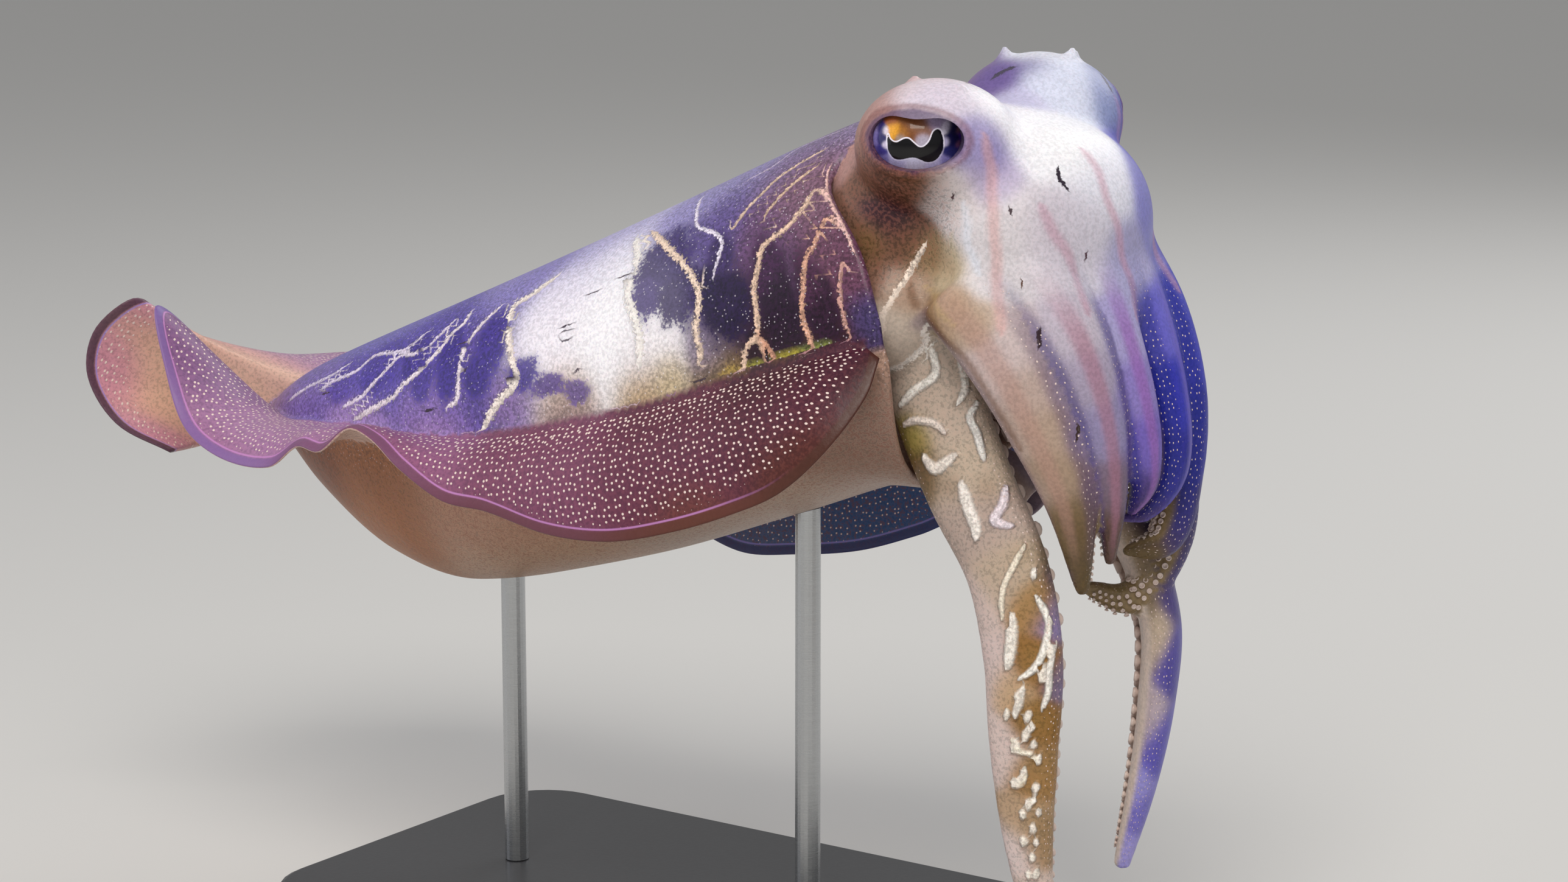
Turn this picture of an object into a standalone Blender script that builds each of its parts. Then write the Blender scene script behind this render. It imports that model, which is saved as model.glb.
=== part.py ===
"""Common cuttlefish, a life-size swimming model on a plain display stand.

Lengths below are millimetres in the animal's own frame: +X is forwards, +Y its left, +Z up.
SHIFT moves that frame so that the middle of the stand's foot is the origin.
"""
import bmesh
import bpy
import math
import random
from mathutils import Matrix, Vector
import numpy as np

MM = 0.001
SHIFT = (18.0, 0.0, 146.0)
GAP = 0.3
NECK_GAP = 0.5

# Mantle: a tilted axis from the collar to the tail, with stations along it
MANTLE_FRONT = np.array([66.0, 0.0, 50.0])
MANTLE_LENGTH = 262.0
MANTLE_PITCH = math.radians(17.5)
# station, half width, back height, belly height, height of the fin line
MANTLE_STATIONS = [
    (0.00, 46, 51, -50, -10),
    (0.12, 50, 48.5, -46, -10),
    (0.30, 54, 43, -48, -11),
    (0.47, 53, 38, -50, -9),
    (0.62, 49, 34, -49, -4),
    (0.72, 43, 31.5, -46.5, 3),
    (0.80, 36, 29.5, -37, 8),
    (0.87, 28, 27.5, -18, 11),
    (0.92, 20, 25, 1, 13.5),
    (0.96, 13, 22, 7, 14),
    (1.00, 7, 18, 9, 13),
]
COLLAR_DEPTH = 22.0
COLLAR_SIDE = 7.0
COLLAR_LOBE = 11.0
COLLAR_EYE_BAY = 13.0
COLLAR_NOTCH = 20.0
SECTION_POWER = 2.15

# Fins: free edge from the collar to the tail, as points beside the body
FIN_ROOT = 4.0
FAR_SWEEP = 8.0
FIN_MARGIN = 0.9
NEAR_MARGIN = [
    (64, -50, 36), (64, -56, 27), (58, -65, 14), (47, -69, 3), (33, -70, -4), (14, -70, -11),
    (-6, -70, -16), (-27, -69, -17), (-50, -67, -14), (-65, -67, -13), (-80, -67, -6), (-91, -66, 1),
    (-99, -66, 3), (-111, -65, -5), (-121, -63, -5), (-135, -60, -13), (-155, -58, -13), (-171, -56, -6),
    (-182, -52, 10), (-190, -47, 26), (-191, -36, 20), (-192, -25, 9), (-190, -16, -3), (-187, -10, -10),
]
FAR_MARGIN = [
    (62, 50, 34), (60, 60, 14), (48, 66, -12), (30, 66, -33), (18, 64, -31), (4, 62, -37), (-16, 61, -44),
    (-38, 61, -48), (-60, 62, -50), (-82, 62, -42), (-104, 62, -28), (-126, 62, -16), (-150, 60, -4),
    (-176, 48, 0), (-196, 30, 0), (-207, 6, 3), (-212, -22, 16), (-207, -38, 26), (-216, -46, 17),
    (-219, -47, 3), (-211, -44, -11), (-199, -34, -20),
]
FIN_STEPS = {"front": 14, "rear": 18, "tail": 21}
FIN_SPLIT = 0.0006
FIN_PIECES = [("front", 0.0, 0.36), ("rear", 0.36, 0.72), ("tail", 0.72, 1.0)]

# Head
EYE_CENTRE = np.array([61.5, 28.5, 90.0])
EYE_RADIUS = 12.0
HEAD_ROLL = math.radians(3.5)
HEAD_MASSES = [
    ((50, 0, 66), (30, 36, 30)), ((64, -24, 88), (21.5, 20.5, 17.5)), ((65, 24, 88), (23, 21, 18)),
    ((68, 0, 83), (22, 26, 14)), ((80, 0, 66), (27, 35, 27)), ((78, 0, 48), (32, 34, 20)),
]
HEAD_FACES = 1250
LID_WIDTH = 13.2
LID_HEIGHT = 8.2
LID_THICK = 1.3
LID_SUNK = 0.5
PAPILLAE = [(-9, -3, 3.0), (8, 3, 2.6)]
CROWN = np.array([85.0, 0.0, 40.0])
CROWN_SLOPE = 0.5

# Arms: points of the centre line with half width and half thickness, root to tip
ARMS = {
    "arm_1_right": [(95, -9, 62, 9, 8), (105, -9, 44, 8.5, 7), (113, -8, 22, 6.5, 5.5),
                    (115, -6, 4, 4, 4), (110, -4, -6, 1.6, 1.6)],
    "arm_1_left": [(95, 9, 62, 9, 8), (105, 9, 44, 8.5, 7), (113, 9, 22, 7, 5.5),
                   (115, 8, 4, 5, 4.5), (110, 4, -7, 2.6, 2.6), (103, 0, -9, 1.2, 1.2)],
    "arm_2_right": [(91, -24, 58, 9, 8), (104, -24, 42, 8.5, 7), (110, -20, 22, 6.5, 6),
                    (111, -16, 2, 4.5, 4.5), (109, -12, -18, 1.6, 1.6)],
    "arm_2_left": [(91, 24, 58, 9, 8), (102, 25, 42, 8.5, 7), (110, 23, 22, 7.5, 6),
                   (112, 20, 2, 6, 5.5), (110, 15, -16, 4.5, 4.5), (102, 7, -19, 1.6, 1.6)],
    "arm_3_right": [(74, -31, 52, 11, 9), (88, -31, 37, 10.5, 8), (97, -28, 20, 9, 7),
                    (104, -24, 0, 6.5, 5.5), (106, -20, -24, 2.0, 2.0)],
    "arm_3_left": [(74, 31, 52, 11, 9), (88, 31, 37, 10.5, 8), (98, 29, 20, 9, 7),
                   (105, 28, 0, 7, 6), (106, 26, -20, 5, 5), (100, 16, -33, 4.5, 4.5), (91, 5, -29, 1.8, 1.8)],
    "arm_4_right": [(58, -20, 40, 13, 8), (63, -22, 22, 13, 7), (74, -23, 0, 12.5, 6.5),
                    (86, -24, -20, 11.5, 6), (91, -24, -42, 11, 5.5), (91, -23, -66, 9.5, 5),
                    (92, -22, -90, 7, 4.2), (95, -21, -112, 4, 3), (97, -20, -124, 1.4, 1.4)],
    "arm_4_left": [(58, 20, 40, 13, 8), (63, 22, 22, 13, 7), (76, 24, 0, 12.5, 6.5),
                   (94, 25, -18, 11, 6), (104, 24, -40, 10, 5.5), (104, 23, -62, 9, 5),
                   (101, 22, -84, 6.5, 4), (96, 20, -108, 2.4, 2.4)],
}
ARM_CUTS = {"1": [0.5], "2": [0.5], "3": [0.5], "4": [0.32, 0.66]}
LENGTH_NAMES = {2: ["base", "tip"], 3: ["base", "middle", "tip"]}

OUTWARD = {"1": (1.0, 0.3), "2": (0.75, 0.66), "3": (0.2, 1.0), "4": (0.15, 1.0)}
FAR_ARM_TURN = (1.0, 0.45)
ARM_SPLIT = 0.0015
ARM_ROWS = [12, 12, 10]

# Suckers: two rows down the inner face of each arm, smaller towards its tip
SUCKER_STARTS = {"1": 0.24, "2": 0.24, "3": 0.28, "4": 0.20}
SUCKER_END = 0.975
SUCKER_STEP = (3.2, 0.36)
SUCKER_ROW = math.radians(26)
SUCKER_SIZE = 0.23
SUCKER_LEAST = 0.65
SUCKER_SUNK = 1.3
# height above the skin and radius of each row, as shares of the sucker's radius
SUCKER_ROWS = [(0.60, 1.00), (0.95, 0.62)]
SUCKER_CUP = 0.45
SUCKER_LARGE = 1.7
FRAMES_AN_ARM = 40

FUNNEL_FLATNESS = 0.8
FUNNEL = [(58, 0, 3, 11), (70, 0, -2, 9.5), (80, 0, -7, 7)]

# Stand
BASE_SIZE = (250.0, 130.0, 10.0)
ROD_RADIUS = 3.5
ROD_REACH = 150.0
ROD_PLACES = {"stand_rod_front": 26.0, "stand_rod_rear": -78.0}

COLOURS = {
    "mantle": (0.30, 0.20, 0.26), "fin": (0.33, 0.16, 0.22), "head": (0.55, 0.45, 0.42),
    "arm": (0.52, 0.42, 0.38), "funnel": (0.60, 0.50, 0.44), "eye": (0.02, 0.02, 0.03),
    "stand_base": (0.05, 0.05, 0.05), "stand_rod": (0.45, 0.45, 0.46),
}


def clear_scene():
    for item in list(bpy.data.objects):
        bpy.data.objects.remove(item)


def smooth_between(places, values, x):
    """Value at x of a smooth curve through the values, without overshoot"""
    steps = np.diff(values) / np.diff(places)
    slopes = np.zeros(len(places))
    slopes[0] = steps[0]
    slopes[-1] = steps[-1]
    for i in range(1, len(places) - 1):
        if steps[i - 1] * steps[i] > 0:
            slopes[i] = 2 * steps[i - 1] * steps[i] / (steps[i - 1] + steps[i])
    i = int(np.clip(np.searchsorted(places, x) - 1, 0, len(places) - 2))
    span = places[i + 1] - places[i]
    t = min(max((x - places[i]) / span, 0.0), 1.0)
    return ((1 + 2 * t) * (1 - t) ** 2 * values[i] + t * (1 - t) ** 2 * span * slopes[i]
            + t * t * (3 - 2 * t) * values[i + 1] + t * t * (t - 1) * span * slopes[i + 1])


def along(points, t):
    """Point at t, from 0 to 1, on a smooth curve through the points, spaced by length"""
    points = np.array(points, dtype=float)
    runs = np.linalg.norm(np.diff(points[:, :3], axis=0), axis=1)
    places = np.concatenate([[0.0], np.cumsum(runs)])
    x = min(max(t, 0.0), 1.0) * places[-1]
    i = int(np.clip(np.searchsorted(places, x) - 1, 0, len(places) - 2))
    before = points[max(i - 1, 0)]
    after = points[min(i + 2, len(points) - 1)]
    span = places[i + 1] - places[i]
    width_before = places[i + 1] - places[max(i - 1, 0)]
    width_after = places[min(i + 2, len(points) - 1)] - places[i]
    slope_a = (points[i + 1] - before) / width_before
    slope_b = (after - points[i]) / width_after
    u = (x - places[i]) / span
    return ((1 + 2 * u) * (1 - u) ** 2 * points[i] + u * (1 - u) ** 2 * span * slope_a
            + u * u * (3 - 2 * u) * points[i + 1] + u * u * (u - 1) * span * slope_b)


def power(value, exponent):
    return math.copysign(abs(value) ** exponent, value)


def to_world(point):
    return Vector([(place + shift) * MM for place, shift in zip(point, SHIFT)])


def finish(obj, colour, roughness=0.5, metallic=0.0):
    material = bpy.data.materials.new(obj.name)
    material.use_nodes = True
    shader = material.node_tree.nodes["Principled BSDF"]
    shader.inputs["Base Color"].default_value = (*colour, 1.0)
    shader.inputs["Roughness"].default_value = roughness
    shader.inputs["Metallic"].default_value = metallic
    obj.data.materials.clear()
    obj.data.materials.append(material)
    for face in obj.data.polygons:
        face.use_smooth = True
    return obj


def new_object(name, bm):
    bmesh.ops.recalc_face_normals(bm, faces=bm.faces)
    mesh = bpy.data.meshes.new(name)
    bm.to_mesh(mesh)
    bm.free()
    obj = bpy.data.objects.new(name, mesh)
    bpy.context.scene.collection.objects.link(obj)
    return obj


def drawn_sphere(name, around, rows, place):
    """UV sphere whose rows are drawn out by place(row, angle) into a closed form"""
    bm = bmesh.new()
    bmesh.ops.create_uvsphere(bm, u_segments=around, v_segments=rows, radius=1.0)
    for vert in bm.verts:
        row = round(math.acos(max(-1.0, min(1.0, vert.co.z))) / math.pi * rows)
        angle = math.atan2(vert.co.y, vert.co.x)
        vert.co = to_world(place(row, angle))
    bmesh.ops.triangulate(bm, faces=bm.faces, quad_method="SHORT_EDGE")
    return new_object(name, bm)


def boolean(obj, others, operation, solver="EXACT"):
    """Applies one Boolean of the other objects to obj and removes them"""
    group = bpy.data.collections.new(obj.name + "_others")
    bpy.context.scene.collection.children.link(group)
    for other in others:
        bpy.context.scene.collection.objects.unlink(other)
        group.objects.link(other)
    modifier = obj.modifiers.new("Boolean", "BOOLEAN")
    modifier.operation = operation
    modifier.solver = solver
    modifier.operand_type = "COLLECTION"
    modifier.collection = group
    apply_modifiers(obj)
    for other in others:
        bpy.data.objects.remove(other)
    bpy.data.collections.remove(group)
    keep_largest(obj)


def apply_modifiers(obj):
    bpy.context.view_layer.update()
    evaluated = obj.evaluated_get(bpy.context.evaluated_depsgraph_get())
    mesh = bpy.data.meshes.new_from_object(evaluated)
    obj.modifiers.clear()
    obj.data = mesh


def keep_largest(obj):
    """Keeps the closed surface with the largest extent and drops loose scraps"""
    bm = bmesh.new()
    bm.from_mesh(obj.data)
    bmesh.ops.triangulate(bm, faces=bm.faces)
    bm.verts.ensure_lookup_table()
    left = set(bm.verts)
    groups = []
    while left:
        stack = [left.pop()]
        group = list(stack)
        while stack:
            for edge in stack.pop().link_edges:
                for vert in edge.verts:
                    if vert in left:
                        left.remove(vert)
                        stack.append(vert)
                        group.append(vert)
        groups.append(group)
    groups.sort(key=extent)
    for group in groups[:-1]:
        bmesh.ops.delete(bm, geom=group, context="VERTS")
    bm.to_mesh(obj.data)
    bm.free()


def extent(group):
    """Diagonal of the box round a group of vertices"""
    places = np.array([vert.co for vert in group])
    return float(np.linalg.norm(places.max(axis=0) - places.min(axis=0)))


def mantle_axes():
    backwards = np.array([-math.cos(MANTLE_PITCH), 0.0, -math.sin(MANTLE_PITCH)])
    upwards = np.array([-math.sin(MANTLE_PITCH), 0.0, math.cos(MANTLE_PITCH)])
    return backwards, upwards


def mantle_sizes(s):
    table = np.array(MANTLE_STATIONS)
    return [smooth_between(table[:, 0], table[:, column], s) for column in range(1, 5)]


def mantle_point(s, angle, inside=1.0, grow=0.0):
    """Point of the mantle's skin; angle 0 is the back, a quarter turn is the left side"""
    backwards, upwards = mantle_axes()
    half_width, back, belly, middle = mantle_sizes(s)
    across = power(math.sin(angle), 2 / SECTION_POWER) * (half_width + grow) * inside
    rise = power(math.cos(angle), 2 / SECTION_POWER)
    height = (back + grow - middle) if rise > 0 else (middle - belly + grow)
    turn = abs(math.degrees(math.atan2(math.sin(angle), math.cos(angle))))
    collar = (COLLAR_SIDE - COLLAR_LOBE * math.exp(-(turn / 16.0) ** 2)
              + COLLAR_EYE_BAY * math.exp(-((turn - 42.0) / 20.0) ** 2)
              + COLLAR_NOTCH * max(-math.cos(angle), 0.0) ** 1.5)
    back_by = collar * max(1.0 - max(s, 0.0) / 0.3, 0.0) ** 1.5
    centre = MANTLE_FRONT + backwards * (s * MANTLE_LENGTH + back_by) + upwards * middle
    return centre + upwards * (rise * height * inside) + np.array([0.0, across, 0.0])


def mantle_row(row, rows, angle, grow=0.0):
    """Rows of the mantle: the floor and wall of the collar, then the skin back to the tail"""
    collar_rows = [(COLLAR_DEPTH, 0.0), (COLLAR_DEPTH, 0.45), (COLLAR_DEPTH - 1.5, 0.80),
                   (COLLAR_DEPTH * 0.4, 0.90), (1.0, 0.95), (0.0, 0.975)]
    if row < len(collar_rows):
        depth, inside = collar_rows[row]
        if row == len(collar_rows) - 1:
            return mantle_point((depth - grow) / MANTLE_LENGTH, angle, inside, grow)
        return mantle_point((depth - grow) / MANTLE_LENGTH, angle, inside * (1.0 - grow / 40.0))
    first = len(collar_rows)
    t = (row - first) / (rows - first)
    s = 0.006 + 0.994 * math.sin(t * math.pi / 2) ** 0.9
    if row == rows:
        return mantle_point(1.0 + (1.0 + grow) / MANTLE_LENGTH, angle, 0.0)
    return mantle_point(s, angle, 1.0, grow)


def mantle(name, around=28, rows=28, grow=0.0):
    return drawn_sphere(name, around, rows, lambda row, angle: mantle_row(row, rows, angle, grow))


def fin_base(side, t):
    """Point of the fin's root line on the mantle"""
    s = 0.025 + 0.965 * t
    return mantle_point(s, side * math.pi / 2, 0.97)


def fin_place(side, margin, t, v):
    """Point of the fin's middle sheet: t from collar to tail, v from root to free edge"""
    # the root runs faster at first, because the free edge fans out round the tail
    root = fin_base(side, min(1.0, t * 1.22) if t < 0.7 else 0.854 + (t - 0.7) / 0.3 * 0.146)
    edge = along(margin, t)[:3]
    straight = root + (edge - root) * v
    backwards, upwards = mantle_axes()
    outwards = np.array([0.0, side, 0.0])
    bow = math.sin(v * math.pi) * 0.16 * np.linalg.norm(edge - root)
    swell = (outwards * 0.75 + upwards * 0.65) * bow * max(0.0, 1.0 - max(t - 0.7, 0.0) / 0.15)
    sweep = backwards * FAR_SWEEP * math.sin(v * math.pi) * min(max((t - 0.75) / 0.1, 0.0), 1.0)
    return straight + swell + (sweep if side > 0 else 0.0)


def fin_normal(side, margin, t, v):
    """Direction across the fin's sheet at t and v"""
    step = 0.002
    along_fin = fin_place(side, margin, t + step, v) - fin_place(side, margin, t - step, v)
    outwards = fin_place(side, margin, t, v + step) - fin_place(side, margin, t, v - step)
    normal = np.cross(along_fin, outwards)
    return normal / np.linalg.norm(normal)


def fin(name, side, margin, t0, t1, steps, across=4):
    """Length of a fin: a sheet whose wall thins from root to edge, with like triangles on both faces"""
    bm = bmesh.new()
    bmesh.ops.create_grid(bm, x_segments=steps, y_segments=across, size=0.5)
    bmesh.ops.triangulate(bm, faces=bm.faces[:], quad_method="FIXED")
    upper = bm.verts[:]
    twins = bmesh.ops.duplicate(bm, geom=bm.verts[:] + bm.edges[:] + bm.faces[:])["vert_map"]
    for vert in upper:
        t = t0 + (t1 - t0) * (vert.co.x + 0.5)
        v = vert.co.y + 0.5
        middle = fin_place(side, margin, t, v)
        half = fin_normal(side, margin, t, v) * (FIN_ROOT + (FIN_MARGIN - FIN_ROOT) * v ** 0.7) / 2
        vert.co = to_world(middle + half)
        twins[vert].co = to_world(middle - half)
    rims = [edge for edge in bm.edges if edge.is_boundary]
    bmesh.ops.bridge_loops(bm, edges=rims)
    bmesh.ops.triangulate(bm, faces=bm.faces[:])
    return new_object(name, bm)


def arm_frame(name, t):
    """Centre, half sizes and the outward and sideways directions of an arm at t"""
    points = ARMS[name]
    outward = arm_outward(name, t)
    here = along(points, t)
    ahead = along(points, min(t + 0.01, 1.0))[:3] - along(points, max(t - 0.01, 0.0))[:3]
    ahead /= np.linalg.norm(ahead)
    out = np.array(outward, dtype=float)
    out -= ahead * out.dot(ahead)
    out /= np.linalg.norm(out)
    return here, out, np.cross(ahead, out), ahead


def arm(name, kind, t0=0.0, t1=1.0, around=10, rows=16, grow=0.0):
    """Arm drawn out along its centre line, flat where it is cut and pointed at its tip"""
    def place(row, angle):
        t = t0 + (t1 - t0) * min(max((row - 1) / (rows - 2), 0.0), 1.0)
        here, out, aside, ahead = arm_frame(kind, t)
        size = 0.0 if row in (0, rows) else 1.0
        across = power(math.cos(angle), 0.9) * (here[3] + grow) * size
        deep = power(math.sin(angle), 0.9) * (here[4] + grow) * size
        end = (here[4] * 0.5 + grow) if row == rows and t1 == 1.0 else 0.0
        return here[:3] + aside * across + out * deep + ahead * end
    return drawn_sphere(name, around, rows, place)


def arm_length(name):
    points = np.array(ARMS[name], dtype=float)[:, :3]
    return float(np.linalg.norm(np.diff(points, axis=0), axis=1).sum())


def sucker_places(name, t0, t1):
    """Place, direction, radius and sunk depth of the suckers on a length of an arm, row by row"""
    rng = random.Random(f"{name} {t0:.3f}")
    length = arm_length(name)
    t = max(t0, SUCKER_STARTS[name[4]])
    t_end = min(t1, SUCKER_END)
    side = 1
    places = []
    while True:
        half_width, half_thickness = arm_frame(name, t)[0][3:]
        radius = max(half_width * SUCKER_SIZE, SUCKER_LEAST)
        step = (SUCKER_STEP[0] + SUCKER_STEP[1] * half_width) / length
        room = (radius + 2 * GAP) / length
        if t < t0 + room:
            t = t0 + room
        if t > t_end - room:
            return places
        here, out, aside, _ = arm_frame(name, t)
        turn = SUCKER_ROW * side + rng.uniform(-0.05, 0.05)
        across = power(math.sin(turn), 0.9) * here[3]
        deep = power(math.cos(turn), 0.9) * here[4]
        facing = aside * math.sin(turn) / here[3] - out * math.cos(turn) / here[4]
        facing /= np.linalg.norm(facing)
        sunk = min(SUCKER_SUNK, half_thickness * 0.45)
        places.append((here[:3] + aside * across - out * deep, facing, radius * rng.uniform(0.92, 1.06), sunk))
        side = -side
        t += step * rng.uniform(0.94, 1.06)


def sucker(place, facing, radius, sunk):
    """Cup on a short stalk whose root is sunk in the arm"""
    aside = np.cross(facing, (0.3, 0.2, 1.0))
    aside /= np.linalg.norm(aside)
    other = np.cross(facing, aside)
    rows = [(-sunk, 0.0), (-sunk, radius * 0.7)]
    rows += [(height * radius, share * radius) for height, share in SUCKER_ROWS]
    rows += [(SUCKER_CUP * radius, 0.0)]

    def point(row, angle):
        height, ring = rows[row]
        return place + facing * height + (aside * math.cos(angle) + other * math.sin(angle)) * ring
    return drawn_sphere("sucker", 6 if radius > SUCKER_LARGE else 5, len(rows) - 1, point)


def touches_arm(point, frames, reach):
    """Whether a point comes within reach of an arm given by its frames"""
    for here, out, aside, ahead in frames:
        off = point - here[:3]
        spread = math.hypot(off.dot(aside) / (here[3] + reach), off.dot(out) / (here[4] + reach))
        if abs(off.dot(ahead)) < 3.0 and spread < 1.0:
            return True
    return False


def clear_suckers(name, t0, t1, frames, taken):
    """Suckers of a length of an arm that stay clear of the other arms and of their suckers"""
    made = []
    for place, facing, radius, sunk in sucker_places(name, t0, t1):
        top = place + facing * radius
        others = [rows for other, rows in frames.items() if other != name]
        if any(touches_arm(top, rows, radius + 2 * GAP) for rows in others):
            continue
        if any(np.linalg.norm(top - spot) < radius + size + 2 * GAP for owner, spot, size in taken if owner != name):
            continue
        taken.append((name, top, radius))
        made.append(sucker(place, facing, radius, sunk))
    return made


def ellipsoid(name, centre, radii, around=20, rows=12):
    def place(row, angle):
        polar = math.pi * row / rows
        ring = math.sin(polar)
        return np.array(centre) + np.array(radii) * (ring * math.cos(angle), ring * math.sin(angle), math.cos(polar))
    return drawn_sphere(name, around, rows, place)


def rolled(point):
    """Point of the head, rolled a little about the head's own axis"""
    x, y, z = point
    return np.array([x, y, z + y * math.tan(HEAD_ROLL)])


def crown_cut(obj, keep_above, gap=0.0):
    """Cuts an object at the plane where the arms leave the head"""
    normal = Vector((-CROWN_SLOPE, 0.0, 1.0)).normalized()
    point = to_world(CROWN) - normal * gap * MM
    bm = bmesh.new()
    bm.from_mesh(obj.data)
    bmesh.ops.bisect_plane(bm, geom=bm.verts[:] + bm.edges[:] + bm.faces[:], dist=1e-6, plane_co=point,
                           plane_no=normal, clear_inner=keep_above, clear_outer=not keep_above)
    rim = [edge for edge in bm.edges if edge.is_boundary]
    bmesh.ops.holes_fill(bm, edges=rim)
    bmesh.ops.triangulate(bm, faces=bm.faces[:])
    bmesh.ops.recalc_face_normals(bm, faces=bm.faces)
    bm.to_mesh(obj.data)
    bm.free()
    return obj


def remesh(obj, voxel, faces, smooths=6):
    """Melts joined forms into one skin and thins it to about the given number of triangles"""
    modifier = obj.modifiers.new("Remesh", "REMESH")
    modifier.mode = "VOXEL"
    modifier.voxel_size = voxel * MM
    apply_modifiers(obj)
    modifier = obj.modifiers.new("Smooth", "SMOOTH")
    modifier.iterations = smooths
    modifier.factor = 0.5
    apply_modifiers(obj)
    modifier = obj.modifiers.new("Decimate", "DECIMATE")
    modifier.ratio = faces / (2 * len(obj.data.polygons))
    apply_modifiers(obj)


def joined(name, pieces):
    """One mesh object from several, which the remesh then melts together"""
    bm = bmesh.new()
    for piece in pieces:
        bm.from_mesh(piece.data)
        bpy.data.objects.remove(piece)
    mesh = bpy.data.meshes.new(name)
    bm.to_mesh(mesh)
    bm.free()
    obj = bpy.data.objects.new(name, mesh)
    bpy.context.scene.collection.objects.link(obj)
    return obj


def side_name(side):
    return "left" if side > 0 else "right"


def arm_outward(name, t):
    """Direction that the outer face of an arm looks in, at t along it"""
    x, y = OUTWARD[name.split("_")[1]]
    if name == "arm_4_left":
        turn = min(max((t - 0.15) / 0.25, 0.0), 1.0)
        x, y = np.array((x, y)) * (1 - turn) + np.array(FAR_ARM_TURN) * turn
    return (x, y if name.endswith("left") else -y, 0.0)


def make_mantle():
    body = mantle("mantle")
    return finish(body, COLOURS["mantle"])


def make_fins():
    for side, margin in ((-1, NEAR_MARGIN), (1, FAR_MARGIN)):
        for label, t0, t1 in FIN_PIECES:
            start = t0 + (FIN_SPLIT if t0 > 0 else 0.0)
            stop = t1 - (FIN_SPLIT if t1 < 1 else 0.0)
            piece = fin(f"fin_{side_name(side)}_{label}", side, margin, start, stop, FIN_STEPS[label])
            boolean(piece, [mantle("cutter", grow=GAP)], "DIFFERENCE")
            finish(piece, COLOURS["fin"])


def dome_point(side, x, z, sunk=0.0):
    """Point on the dome of an eye, at a place seen from the side"""
    (cx, cy, cz), (rx, ry, rz) = HEAD_MASSES[1 if side < 0 else 2]
    out = math.sqrt(max(1.0 - ((x - cx) / rx) ** 2 - ((z - cz) / rz) ** 2, 0.0))
    return rolled((x, cy + side * (ry * out - sunk), z))


def lid(side, around=14, sides=5):
    """Fold of skin round the opening of an eye"""
    bm = bmesh.new()
    ring = bmesh.ops.create_circle(bm, segments=sides, radius=LID_THICK)["verts"]
    bmesh.ops.rotate(bm, verts=ring, cent=(0, 0, 0), matrix=Matrix.Rotation(math.pi / 2, 3, "X"))
    bmesh.ops.translate(bm, verts=ring, vec=(LID_WIDTH, 0, 0))
    bmesh.ops.spin(bm, geom=bm.verts[:] + bm.edges[:], cent=(0, 0, 0), axis=(0, 0, 1), angle=math.tau,
                   steps=around, use_merge=True)
    for vert in bm.verts:
        turn = math.atan2(vert.co.y, vert.co.x)
        spread = math.hypot(vert.co.x, vert.co.y) - LID_WIDTH
        x = EYE_CENTRE[0] + 1.0 + (LID_WIDTH + spread) * math.cos(turn)
        z = EYE_CENTRE[2] + 1.0 + (LID_HEIGHT + spread) * math.sin(turn)
        vert.co = to_world(dome_point(side, x, z, LID_SUNK - vert.co.z))
    bmesh.ops.triangulate(bm, faces=bm.faces[:])
    return new_object("lid", bm)


def papilla(side, x, y, height):
    """Small soft spike on top of an eye's dome"""
    (cx, cy, cz), (rx, ry, rz) = HEAD_MASSES[1 if side < 0 else 2]
    top = math.sqrt(1.0 - (x / rx) ** 2 - (y / ry) ** 2)
    foot = rolled((cx + x, cy + side * y, cz + rz * top))
    rows = [(-3.0, 0.0), (-3.0, 2.4), (height * 0.55, 1.2), (height, 0.0)]

    def point(row, angle):
        rise, ring = rows[row]
        return foot + np.array([math.cos(angle) * ring, math.sin(angle) * ring, rise])
    return drawn_sphere("papilla", 5, len(rows) - 1, point)


def make_head():
    masses = [ellipsoid("mass", rolled(centre), radii) for centre, radii in HEAD_MASSES]
    roots = [arm("root", name, 0.0, 0.45) for name in ARMS]
    head = joined("head", masses + roots)
    remesh(head, 1.6, HEAD_FACES)
    crown_cut(head, True)
    folds = [lid(side) for side in (-1, 1)]
    spikes = [papilla(side, *place) for side in (-1, 1) for place in PAPILLAE]
    boolean(head, folds + spikes, "UNION")
    for side in (-1, 1):
        boolean(head, [eye_window(side)], "DIFFERENCE")
        socket = ellipsoid("cutter", eye_centre(side), [EYE_RADIUS + GAP] * 3, 16, 12)
        boolean(head, [socket], "DIFFERENCE")
    boolean(head, [mantle("cutter", grow=NECK_GAP)], "DIFFERENCE")
    return finish(head, COLOURS["head"])


def eye_centre(side):
    return rolled(EYE_CENTRE * (1, side, 1))


def eye_window(side):
    """Spindle that opens the lids outwards from the eye"""
    x, y, z = eye_centre(side) + np.array([1.0, side * 12.0, 1.0])
    return ellipsoid("cutter", (x, y, z), (12.0, 12.0, 7.0), 16, 10)


def make_eyes():
    for side in (-1, 1):
        ball = ellipsoid(f"eye_{side_name(side)}", eye_centre(side), [EYE_RADIUS] * 3, 14, 10)
        finish(ball, COLOURS["eye"], 0.1)


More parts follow.
